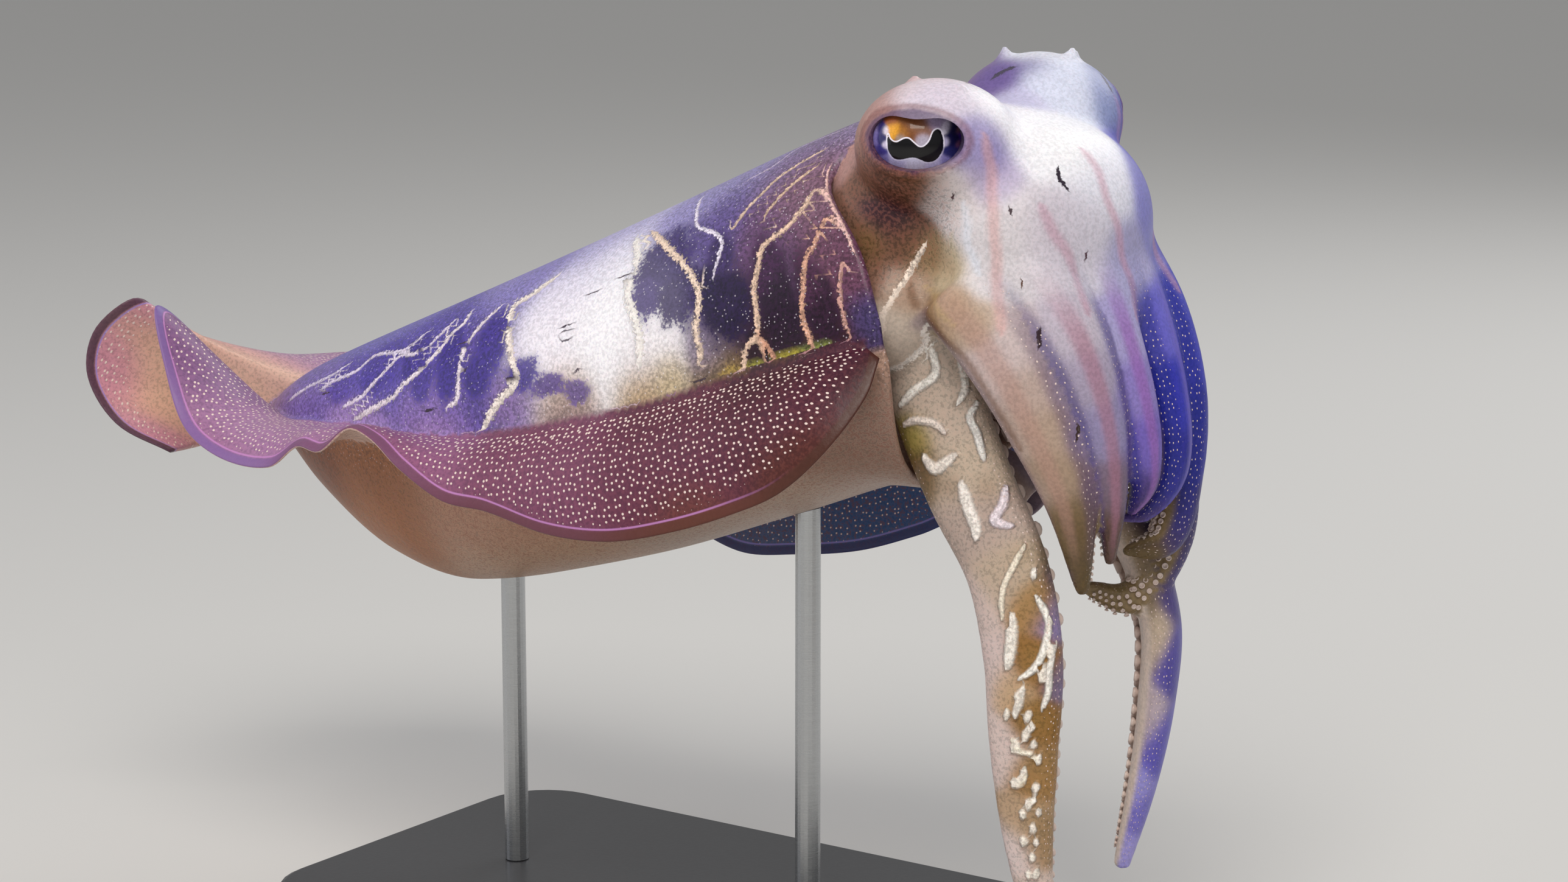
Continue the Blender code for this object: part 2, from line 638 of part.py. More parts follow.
def make_arms():
    made = []
    taken = []
    frames = {name: [arm_frame(name, k / FRAMES_AN_ARM) for k in range(FRAMES_AN_ARM + 1)] for name in ARMS}
    for name in ARMS:
        cuts = [0.0] + ARM_CUTS[name.split("_")[1]] + [1.0]
        labels = LENGTH_NAMES[len(cuts) - 1]
        for i, label in enumerate(labels):
            t0 = cuts[i] + (ARM_SPLIT if i else 0.0)
            t1 = cuts[i + 1] - (ARM_SPLIT if i < len(labels) - 1 else 0.0)
            length = arm(f"{name}_{label}", name, t0, t1, rows=ARM_ROWS[i])
            cups = clear_suckers(name, t0, t1, frames, taken)
            if cups:
                boolean(length, cups, "UNION")
            if i == 0:
                crown_cut(length, False, GAP)
                if name[4] in "34":
                    boolean(length, [mantle("cutter", grow=GAP)], "DIFFERENCE")
            for other in made:
                near = name[:5] == other[:5] or abs(int(name[4]) - int(other[4])) == 1
                if near:
                    boolean(length, [arm("cutter", other, grow=GAP, rows=30)], "DIFFERENCE")
            finish(length, COLOURS["arm"])
        made.append(name)


def funnel_tube(name, around=16):
    """Short tube that points forwards and down, open at its mouth"""
    walls = [(0.0, 0.0), (0.0, 1.0), (0.35, 1.0), (0.7, 1.0), (1.0, 0.95), (1.0, 0.75), (0.7, 0.7), (0.6, 0.5)]

    def place(row, angle):
        t, inside = walls[row] if row < len(walls) else (0.6, 0.0)
        x, y, z, radius = along(FUNNEL, t)
        ahead = along(FUNNEL, min(t + 0.01, 1.0))[:3] - along(FUNNEL, max(t - 0.01, 0.0))[:3]
        ahead /= np.linalg.norm(ahead)
        rise = np.cross(ahead, (0.0, 1.0, 0.0))
        flat = radius * inside * np.array([0.0, math.cos(angle), 0.0])
        return np.array([x, y, z]) + flat - rise * radius * inside * FUNNEL_FLATNESS * math.sin(angle)
    return drawn_sphere(name, around, 8, place)


def make_funnel():
    tube = funnel_tube("funnel")
    for side in (-1, 1):
        boolean(tube, [arm("cutter", f"arm_4_{side_name(side)}", grow=GAP, rows=30)], "DIFFERENCE")
    boolean(tube, [mantle("cutter", grow=GAP)], "DIFFERENCE")
    finish(tube, COLOURS["funnel"])


def make_stand():
    bm = bmesh.new()
    bmesh.ops.create_cube(bm, size=1.0)
    for vert in bm.verts:
        x, y, z = vert.co
        vert.co = Vector((x * BASE_SIZE[0], y * BASE_SIZE[1], (z + 0.5) * BASE_SIZE[2])) * MM
    upright = [edge for edge in bm.edges if abs(edge.verts[0].co.z - edge.verts[1].co.z) > 0.001]
    bmesh.ops.bevel(bm, geom=upright, offset=22 * MM, segments=8, profile=0.5, affect="EDGES", material=-1)
    top = [edge for edge in bm.edges if all(vert.co.z > BASE_SIZE[2] * MM * 0.99 for vert in edge.verts)]
    bmesh.ops.bevel(bm, geom=top, offset=1.5 * MM, segments=2, profile=0.5, affect="EDGES", material=-1)
    bmesh.ops.triangulate(bm, faces=bm.faces[:])
    base = new_object("stand_base", bm)
    finish(base, COLOURS["stand_base"], 0.4)
    for name, x in ROD_PLACES.items():
        bm = bmesh.new()
        bmesh.ops.create_cone(bm, cap_ends=True, segments=20, radius1=ROD_RADIUS * MM, radius2=ROD_RADIUS * MM,
                              depth=ROD_REACH * MM)
        bmesh.ops.translate(bm, verts=bm.verts, vec=(x * MM, 0.0, (BASE_SIZE[2] + GAP + ROD_REACH / 2) * MM))
        bmesh.ops.triangulate(bm, faces=bm.faces[:])
        rod = new_object(name, bm)
        boolean(rod, [mantle("cutter", grow=GAP)], "DIFFERENCE")
        finish(rod, COLOURS["stand_rod"], 0.25, 1.0)


def build():
    clear_scene()
    make_mantle()
    make_fins()
    make_head()
    make_eyes()
    make_arms()
    make_funnel()
    make_stand()


build()
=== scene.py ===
"""Common cuttlefish on a display stand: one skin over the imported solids, eyes, suckers, papillae and stand.

Forms are worked out in millimetres in the animal's own frame, +X forwards, +Y its left, +Z up.
"""

import math
import random

import bmesh
import bpy
import numpy as np
from mathutils import Matrix, Vector
from mathutils.kdtree import KDTree


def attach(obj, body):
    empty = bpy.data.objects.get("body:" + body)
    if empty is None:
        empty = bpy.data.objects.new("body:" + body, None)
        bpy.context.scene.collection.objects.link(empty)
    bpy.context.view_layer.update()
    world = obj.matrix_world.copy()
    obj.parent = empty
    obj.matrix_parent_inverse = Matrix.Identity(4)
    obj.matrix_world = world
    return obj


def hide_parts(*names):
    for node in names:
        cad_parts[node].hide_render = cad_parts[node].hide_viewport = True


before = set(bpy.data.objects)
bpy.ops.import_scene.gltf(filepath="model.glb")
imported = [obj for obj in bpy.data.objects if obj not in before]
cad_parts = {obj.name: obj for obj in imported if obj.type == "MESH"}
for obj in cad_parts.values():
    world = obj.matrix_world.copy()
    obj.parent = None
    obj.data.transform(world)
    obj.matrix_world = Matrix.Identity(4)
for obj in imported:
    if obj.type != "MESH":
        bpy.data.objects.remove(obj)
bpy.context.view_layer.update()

MM = 0.001
SHIFT = np.array([18.0, 0.0, 146.0])

# Camera, as the photograph was taken, in millimetres and degrees
VIEW_AZIMUTH = 35.0
VIEW_ELEVATION = 11.0
VIEW_DISTANCE = 960.0
LENS = 81.0
SENSOR = 36.0

# Mantle: a tilted axis from the collar to the tail
MANTLE_FRONT = np.array([66.0, 0.0, 50.0])
MANTLE_LENGTH = 262.0
MANTLE_PITCH = math.radians(17.5)
# station, half width, back height, belly height, height of the fin line
MANTLE_STATIONS = np.array([
    (0.00, 46, 51, -50, -10), (0.12, 50, 48.5, -46, -10), (0.30, 54, 43, -48, -11), (0.47, 53, 38, -50, -9),
    (0.62, 49, 34, -49, -4), (0.72, 43, 31.5, -46.5, 3), (0.80, 36, 29.5, -37, 8), (0.87, 28, 27.5, -18, 11),
    (0.92, 20, 25, 1, 13.5), (0.96, 13, 22, 7, 14), (1.00, 7, 18, 9, 13),
])
# depth and share of the width, from the floor of the collar out over its lip
COLLAR_PROFILE = [
    (22, 0.0), (22, 0.25), (22, 0.45), (21.4, 0.65), (20.5, 0.80), (16, 0.86), (12, 0.88), (8.8, 0.90),
    (5, 0.92), (2.5, 0.935), (1.0, 0.945), (0.2, 0.96), (0.0, 0.975), (0.4, 0.99),
]
COLLAR_SIDE = 7.0
COLLAR_LOBE = 11.0
COLLAR_EYE_BAY = 13.0
COLLAR_NOTCH = 20.0
COLLAR_FADE = 0.3
# spread in degrees of the lobe over the back, and middle and spread of the bay beside each eye
LOBE_SPREAD = 16.0
BAY_TURN = 42.0
BAY_SPREAD = 20.0
NOTCH_POWER = 1.5
COLLAR_FADE_POWER = 1.5
SECTION_POWER = 2.15
MANTLE_AROUND = 160
MANTLE_ROWS = 160
# first station behind the collar's lip, and how the rows crowd towards the collar
LIP_STATION = 0.006
ROW_CROWDING = 0.9
# rounds in which a place's station and angle settle
CHART_PASSES = 8

# Fins: free edge from the collar to the tail, as points beside the body
FIN_ROOT = 4.0
FAR_SWEEP = 8.0
# share of the fin's length over which its root runs down the body, and the station it has reached by then
ROOT_TURN = 0.7
ROOT_AT_TURN = 0.854
# first station of the root and how far it runs
ROOT_START = 0.025
ROOT_REACH = 0.965
ROOT_SUNK = 0.97
FIN_BOW = 0.16
FIN_MARGIN = 0.9
FIN_MARGINS = {
    -1: [(64, -50, 36), (64, -56, 27), (58, -65, 14), (47, -69, 3), (33, -70, -4), (14, -70, -11),
         (-6, -70, -16), (-27, -69, -17), (-50, -67, -14), (-65, -67, -13), (-80, -67, -6), (-91, -66, 1),
         (-99, -66, 3), (-111, -65, -5), (-121, -63, -5), (-135, -60, -13), (-155, -58, -13),
         (-171, -56, -6), (-182, -52, 10), (-190, -47, 26), (-191, -36, 20), (-192, -25, 9),
         (-190, -16, -3), (-187, -10, -10)],
    1: [(62, 50, 34), (60, 60, 14), (48, 66, -12), (30, 66, -33), (18, 64, -31), (4, 62, -37),
        (-16, 61, -44), (-38, 61, -48), (-60, 62, -50), (-82, 62, -42), (-104, 62, -28), (-126, 62, -16),
        (-150, 60, -4), (-176, 48, 0), (-196, 30, 0), (-207, 6, 3), (-212, -22, 16), (-207, -38, 26),
        (-216, -46, 17), (-219, -47, 3), (-211, -44, -11), (-199, -34, -20)],
}
FIN_ROWS = 210
FIN_ACROSS = 20

# Head and eyes
HEAD_ROLL = math.radians(3.5)
HEAD_MASSES = [
    ((50, 0, 66), (30, 36, 30)), ((64, -24, 88), (21.5, 20.5, 17.5)), ((65, 24, 88), (23, 21, 18)),
    ((68, 0, 83), (22, 26, 14)), ((80, 0, 66), (27, 35, 27)), ((78, 0, 48), (32, 34, 20)),
    ((53, -23, 46), (14, 17, 17)), ((53, 23, 46), (14, 17, 17)),
]
EYE_CENTRE = np.array([61.5, 28.5, 90.0])
EYE_RADIUS = 13.0
EYE_OPENING = (12.9, 7.5)
OPENING_RISE = 2.1
OPENING_DEPTH = 12.0
OPENING_OUT = 13.0
LID_SPREAD = 1.0
LID_THICK = 0.95
LID_DIP = 2.2
# how deep a lid's middle lies in the dome, and the radius of the ring that it is bent from
LID_SUNK = 0.55
LID_RING = 20
# directions that the left pupil looks in and along the left eye; the right one's are mirrored
EYE_FACING = (0.459, 0.887, -0.046)
EYE_AHEAD = (0.888, -0.46, 0.0)
ROUGH_VOXEL = 1.2
HEAD_VOXEL = 1.15
CROWN_SMOOTHS = 60

# Arms: points of the centre line with half width and half thickness, root to tip
ARMS = {
    "arm_1_right": [(95, -9, 62, 9, 8), (105, -9, 44, 8.5, 7), (113, -8, 22, 6.5, 5.5),
                    (115, -6, 4, 4, 4), (110, -4, -6, 1.6, 1.6)],
    "arm_1_left": [(95, 9, 62, 9, 8), (105, 9, 44, 8.5, 7), (113, 9, 22, 7, 5.5), (115, 8, 4, 5, 4.5),
                   (110, 4, -7, 2.6, 2.6), (103, 0, -9, 1.2, 1.2)],
    "arm_2_right": [(91, -24, 58, 9, 8), (104, -24, 42, 8.5, 7), (110, -20, 22, 6.5, 6),
                    (111, -16, 2, 4.5, 4.5), (109, -12, -18, 1.6, 1.6)],
    "arm_2_left": [(91, 24, 58, 9, 8), (102, 25, 42, 8.5, 7), (110, 23, 22, 7.5, 6), (112, 20, 2, 6, 5.5),
                   (110, 15, -16, 4.5, 4.5), (102, 7, -19, 1.6, 1.6)],
    "arm_3_right": [(74, -31, 52, 11, 9), (88, -31, 37, 10.5, 8), (97, -28, 20, 9, 7),
                    (104, -24, 0, 6.5, 5.5), (106, -20, -24, 2.0, 2.0)],
    "arm_3_left": [(74, 31, 52, 11, 9), (88, 31, 37, 10.5, 8), (98, 29, 20, 9, 7), (105, 28, 0, 7, 6),
                   (106, 26, -20, 5, 5), (100, 16, -33, 4.5, 4.5), (91, 5, -29, 1.8, 1.8)],
    "arm_4_right": [(58, -20, 40, 13, 8), (63, -22, 22, 13, 7), (74, -23, 0, 12.5, 6.5),
                    (86, -24, -20, 11.5, 6), (91, -24, -42, 11, 5.5), (91, -23, -66, 9.5, 5),
                    (92, -22, -90, 7, 4.2), (95, -21, -112, 4, 3), (97, -20, -124, 1.4, 1.4)],
    "arm_4_left": [(58, 20, 40, 13, 8), (63, 22, 22, 13, 7), (76, 24, 0, 12.5, 6.5), (94, 25, -18, 11, 6),
                   (104, 24, -40, 10, 5.5), (104, 23, -62, 9, 5), (101, 22, -84, 6.5, 4),
                   (96, 20, -108, 2.4, 2.4)],
}
OUTWARD = {"1": (1.0, 0.3), "2": (0.75, 0.66), "3": (0.2, 1.0), "4": (0.15, 1.0)}
FAR_ARM_TURN = (1.0, 0.45)
ARM_AROUND = 28
ARM_ROWS = 96
# rows that round an arm's tip, how square its section is, and the part of t that its directions are read over
TIP_ROWS = 4
ARM_SQUARENESS = 0.9
ARM_STEP = 0.01
FUNNEL_FLATNESS = 0.8
FUNNEL = [(58, 0, 3, 11), (70, 0, -2, 9.5), (80, 0, -7, 7)]
# place along the funnel and share of its radius, out along it, over its lip and back into its mouth
FUNNEL_WALLS = [
    (0.0, 0.0), (0.0, 1.0), (0.15, 1.0), (0.35, 1.0), (0.55, 1.0), (0.7, 1.0), (0.85, 0.98), (0.97, 0.96),
    (1.0, 0.91), (1.0, 0.82), (0.97, 0.77), (0.85, 0.74), (0.7, 0.7), (0.62, 0.6), (0.6, 0.3), (0.6, 0.0),
]

# middle of the dark brown patch under the right eye, and its reach
BROWN_PATCH = (58.0, -38.0, 70.0)
BROWN_REACH = (14.0, 24.0)
# place from the middle of the dome and height of each papilla, and how much lower the right eye's stand
PAPILLAE = [(-9, -3, 3.0), (8, 3, 2.6)]
NEAR_PAPILLAE = 0.45
# rings of vertices smoothed beside a join, and how many times
SMOOTHED_RINGS = 5
JOIN_SMOOTHS = 12
FOLD_RISE = 0.7

REGIONS = ["mantle", "fin_right", "fin_left", "head", "funnel"]

# millimetres that one degree round the mantle is counted, and how far the belly's washes are held apart
ROUND_MANTLE = 0.87
BELLY_APART = 40.0
# length and width that a fin's colours are laid out on
FIN_CHART = (240.0, 36.0)
# marks on the head whose first point lies further right than this are mirrored
MIRRORED_FROM = -24
# height stored for the raised folds; a line's own is 1, a dash dips and marks on the head lie flat
RAISED = 1.6
DIPPED = -0.5
STRIPE_STRENGTH = 0.55
# heights between which an arm's own stripe comes in below the head and dies out above its tip
STRIPES_FROM = (-62.0, -40.0)
STRIPES_TO = (2.0, 20.0)
# heights between which the rows of white dots and the paler inner faces of the arms come in
LOW_ON_ARMS = (-70.0, -35.0)
# turns round the mantle, in degrees, over which the fin line and the belly's speckle come in
FIN_LINE = (90, 93)
BELLY_LINE = (92, 108)
# t over which a fin's thread comes in
THREAD_STARTS = (0.10, 0.20)
# millimetres that one radian round an arm is counted, and how far apart the arms' dots are laid out
AROUND_ARM = 9.0
ARM_APART = 80.0
# signed distance stored where there is no line, and what a vertex has where nothing is painted
NO_LINE = 5.0
UNPAINTED = {
    "ink": -3.0, "dots": 0.0, "grain": 0.0, "specks": 0.0, "rim": 60.0, "granular": 0.55, "threaded": 0.0,
}
NEAR_FIN_THREAD = "#d08fd0"
FAR_FIN_THREAD = "#9c8fe0"
INNER_FOURTH = "#dccbc0"
INNER_OTHERS = "#8f7a58"

# Colours and marks of the skin. Places are millimetres, or station and angle on the mantle

# centre, reach in millimetres and colour of each soft wash
MANTLE_WASHES = [
    (0.02, 5, 16, "#8a7c9e"), (0.10, 22, 16, "#7c688e"), (0.05, 45, 12, "#7d5c70"),
    (0.11, 56, 11, "#64446a"), (0.04, 66, 9, "#643c54"), (0.10, 66, 8, "#452c4c"),
    # the small blue-violet wash on the collar's lip low on the side, at station 0.015 and 84 degrees, is a
    # painted blue sheen
    (0.13, 76, 9, "#35183a"), (0.015, 84, 3.5, "#453866"), (0.05, 89, 6, "#3f1a2a"),
    (0.12, 89, 6, "#5c4426"), (0.19, 72, 7, "#4c3a66"), (0.21, 80, 5, "#8d8098"),
    (0.20, 18, 16, "#8f86b8"), (0.19, 42, 11, "#5c4c88"), (0.20, 88, 7, "#7a6238"),
    (0.26, 30, 10, "#9890c6"), (0.33, 62, 15, "#fbf9ff"), (0.29, 74, 9, "#f0eaf0"),
    (0.30, 86, 7, "#a8854e"), (0.27, 84, 5, "#b9a47c"), (0.40, 89, 7, "#6d4a5c"),
    (0.42, 62, 13, "#f4eef8"), (0.36, 40, 10, "#f0ecfa"), (0.42, 46, 10, "#ece6f8"),
    (0.38, 26, 14, "#b8b2dc"), (0.40, 82, 8, "#c4ac9c"), (0.49, 30, 14, "#8a80c0"),
    (0.53, 60, 13, "#5a4898"), (0.47, 76, 7, "#8064a0"), (0.60, 48, 13, "#5a4ca4"),
    (0.60, 78, 10, "#8a70b8"), (0.60, 89, 7, "#a684b8"), (0.70, 58, 15, "#5f50a8"),
    (0.75, 18, 16, "#6f66b4"), (0.72, 84, 10, "#a689c4"), (0.85, 55, 18, "#7c68b2"),
    (0.96, 60, 18, "#9a80b4"), (0.94, 89, 12, "#ad8cba"), (0.06, 125, 18, "#a98a7a"),
    (0.05, 165, 22, "#c0a696"), (0.15, 100, 14, "#a5837a"), (0.30, 112, 20, "#b08c7c"),
    (0.30, 160, 28, "#c6ac9a"), (0.58, 112, 20, "#c0937a"), (0.58, 165, 24, "#d0ab90"),
    (0.70, 105, 14, "#9c6238"), (0.76, 125, 16, "#ac6c3c"), (0.80, 170, 18, "#ba7e50"),
    (0.84, 110, 12, "#7c4420"), (0.92, 140, 16, "#8c5230"),
]
# centre, half length along, half height and colour of each dark patch
MANTLE_PATCHES = [
    (0.266, 50, 12.0, 12.0, "#3b2c66"), (0.240, 62, 9.5, 9.0, "#35265c"),
    (0.285, 58, 6.0, 8.0, "#4a3a78"), (0.178, 70, 9.0, 9.5, "#1e0f38"), (0.205, 64, 6.0, 7.0, "#20143e"),
    (0.112, 76, 6.6, 13.0, "#220a26"), (0.118, 64, 6.0, 9.0, "#3a1a3e"), (0.062, 80, 5.8, 8.5, "#280c28"),
    (0.070, 72, 5.0, 8.0, "#44203e"), (0.145, 84, 5.0, 5.0, "#2a1220"), (0.180, 56, 6.0, 7.0, "#3a2a5c"),
    (0.505, 56, 6.0, 12.0, "#40308c"), (0.522, 68, 5.0, 8.0, "#3c2c84"),
    (0.570, 61, 5.0, 14.0, "#3e2e8a"), (0.630, 52, 6.0, 12.0, "#463692"),
    (0.610, 66, 5.0, 8.0, "#4a3a94"), (0.69, 54, 9.0, 14.0, "#4f3f9c"), (0.76, 58, 8.0, 14.0, "#5c4aa4"),
    (0.425, 77, 7.0, 3.0, "#5c468c"), (0.455, 72, 6.5, 5.5, "#46368c"), (0.384, 81, 4.5, 3.0, "#6a5590"),
    (0.072, 87.5, 6.0, 2.0, "#7c8440"), (0.112, 87.5, 6.0, 2.0, "#a89c38"),
    (0.150, 88.0, 6.0, 2.0, "#94903c"), (0.185, 88.0, 5.0, 1.8, "#a08648"),
]
# half width, colour and points, as angle and station, of each pale line
MANTLE_LINES = [
    (0.8, "#dcb4b0", [(38, .004), (48, .004), (58, .004), (68, .004)]),
    (0.6, "#c9b8d4", [(17, .071), (15, .138), (24.5, .144), (27, .182)]),
    (0.75, "#d8bca8", [(29, .049), (32, .083), (35, .107), (40, .126), (44, .146), (49, .163)]),
    (0.75, "#d8b8a0", [(37, .036), (41, .069), (45, .093), (49, .112)]),
    (1.15, "#e0c0aa", [(46, .024), (50.5, .047), (55, .080), (58, .118), (65, .133), (69, .141), (76, .142),
                      (80, .146), (83, .163), (89, .172)]),
    (0.9, "#cd9880", [(80, .146), (84, .136), (89, .127)]),
    (1.1, "#d8a68e", [(56, .021), (62, .049), (66, .068), (73, .079), (79, .087), (83, .085), (88, .081)]),
    (0.9, "#cc9c92", [(68, .019), (74, .033), (81, .038), (87, .036)]),
    (0.8, "#e6ddf0", [(22, .260), (36, .236), (41.5, .224), (46, .197), (51, .178), (56, .183), (61, .192)]),
    (1.35, "#ecd3c0", [(32, .310), (43, .272), (54, .234), (61, .217), (65, .212), (70, .216), (75, .221),
                      (80, .219), (83, .225)]),
    (1.9, "#f8f2ee", [(32, .332), (43, .312), (57, .312), (65, .300), (72, .295), (79, .298)]),
    (1.7, "#f3e6de", [(35, .437), (40, .463), (43, .487), (51, .484), (58, .479), (69, .467), (74, .465),
                      (78, .489), (82, .505), (87, .522)]),
    (1.2, "#eee0ea", [(40, .511), (45, .528), (52, .543), (59, .549), (65, .550), (71, .551), (75, .552),
                      (78, .570)]),
    (1.25, "#ecdfe8", [(35, .567), (42, .566), (46, .580), (52, .588), (57, .604), (61, .618), (65.5, .639),
                      (71, .656), (76, .687), (83, .729)]),
    (1.1, "#e4d6ea", [(37, .587), (46, .605), (51, .628), (50, .659), (57, .677), (65, .699), (70, .711),
                      (76, .747)]),
    (1.1, "#ddd0e8", [(39, .629), (47, .658), (45, .713), (53, .734), (57, .773), (62, .803)]),
    (1.0, "#d8cce6", [(45, .76), (52, .79), (57, .84), (66, .88)]),
]
# angle, station and length of each small dark dash on the mantle
MANTLE_DASHES = [
    (78, .598, 5.0), (53, .553, 3.0), (65, .544, 3.0), (72, .471, 3.5), (59, .617, 3.0), (49, .624, 2.5),
    (66, .788, 3.5), (52, .488, 3.0), (51, .363, 2.5), (60, .397, 2.5), (65, .395, 2.0), (75, .380, 3.0),
    (87, .223, 4.0), (49, .324, 2.5),
]
# t from the collar to the tail, v from root to edge, reach and colour, on the upper face of the near fin
FIN_WASHES = [
    (0.02, 0.3, 12, "#4a1c30"), (0.10, 0.10, 10, "#45222e"), (0.10, 0.5, 12, "#551f33"),
    (0.10, 0.9, 7, "#57291f"), (0.0, 0.8, 9, "#451a20"), (0.20, 0.15, 12, "#5e2c40"),
    (0.22, 0.6, 14, "#662c46"), (0.20, 0.95, 7, "#6b3628"), (0.35, 0.15, 14, "#7a4560"),
    (0.35, 0.6, 16, "#7d4262"), (0.50, 0.3, 16, "#9a648c"), (0.50, 0.8, 14, "#94587e"),
    (0.62, 0.4, 16, "#ab7aa6"), (0.72, 0.4, 16, "#b084ac"), (0.72, 0.9, 10, "#a26f98"),
    (0.85, 0.5, 16, "#8a5f8e"), (1.00, 0.5, 16, "#9c7a96"),
]
# the same on the far fin
FAR_FIN_WASHES = [
    (0.05, 0.5, 20, "#54496f"), (0.25, 0.5, 22, "#5d4c78"), (0.45, 0.5, 22, "#7a5684"),
    (0.65, 0.5, 22, "#a078a0"), (0.78, 0.3, 14, "#b08cae"), (0.84, 0.55, 10, "#e0b09c"),
    (0.88, 0.3, 12, "#f0cdb4"), (0.93, 0.4, 12, "#ecc2a8"), (0.85, 0.9, 5, "#d596a8"),
    (0.92, 0.9, 5, "#d898ae"), (0.98, 0.85, 6, "#cf94ac"), (1.00, 0.3, 12, "#e6bca8"),
]
# the two undersides, from the front to the tail; the blues at the front of the far fin's underside are
# painted shade over its own pink
UNDER_WASHES = {
    -1: [(0.05, 0.5, 22, "#c5a596"), (0.25, 0.5, 24, "#d0b2a2"), (0.50, 0.5, 24, "#e0bfb0"),
         (0.75, 0.5, 22, "#dfb4a8"), (1.00, 0.5, 18, "#d2a6a4")],
    1: [(0.05, 0.5, 20, "#3d558c"), (0.22, 0.5, 20, "#44639a"), (0.40, 0.5, 22, "#5f6f9a"),
        (0.60, 0.5, 24, "#cba7a0"), (0.80, 0.5, 16, "#e5bdae"), (0.90, 0.5, 14, "#e9c2ae"),
        (1.00, 0.5, 14, "#d8a8a4")],
}
# place from the front, in millimetres along it, reach and colour of the band along each fin's margin; on the
# far fin the dark blues towards the front are the band with painted shade
RIM_WASHES = {
    -1: [((10, 0), 18, "#4c2a20"), ((50, 0), 16, "#633528"), ((90, 0), 20, "#6b3c48"),
         ((130, 0), 20, "#7a4c6c"), ((175, 0), 20, "#8866a4"), ((230, 0), 20, "#7d6cae")],
    1: [((20, 0), 30, "#2c3a72"), ((90, 0), 30, "#3c3a6c"), ((150, 0), 20, "#5a4668"),
        ((195, 0), 12, "#3c2440"), ((230, 0), 14, "#2e1c34")],
}
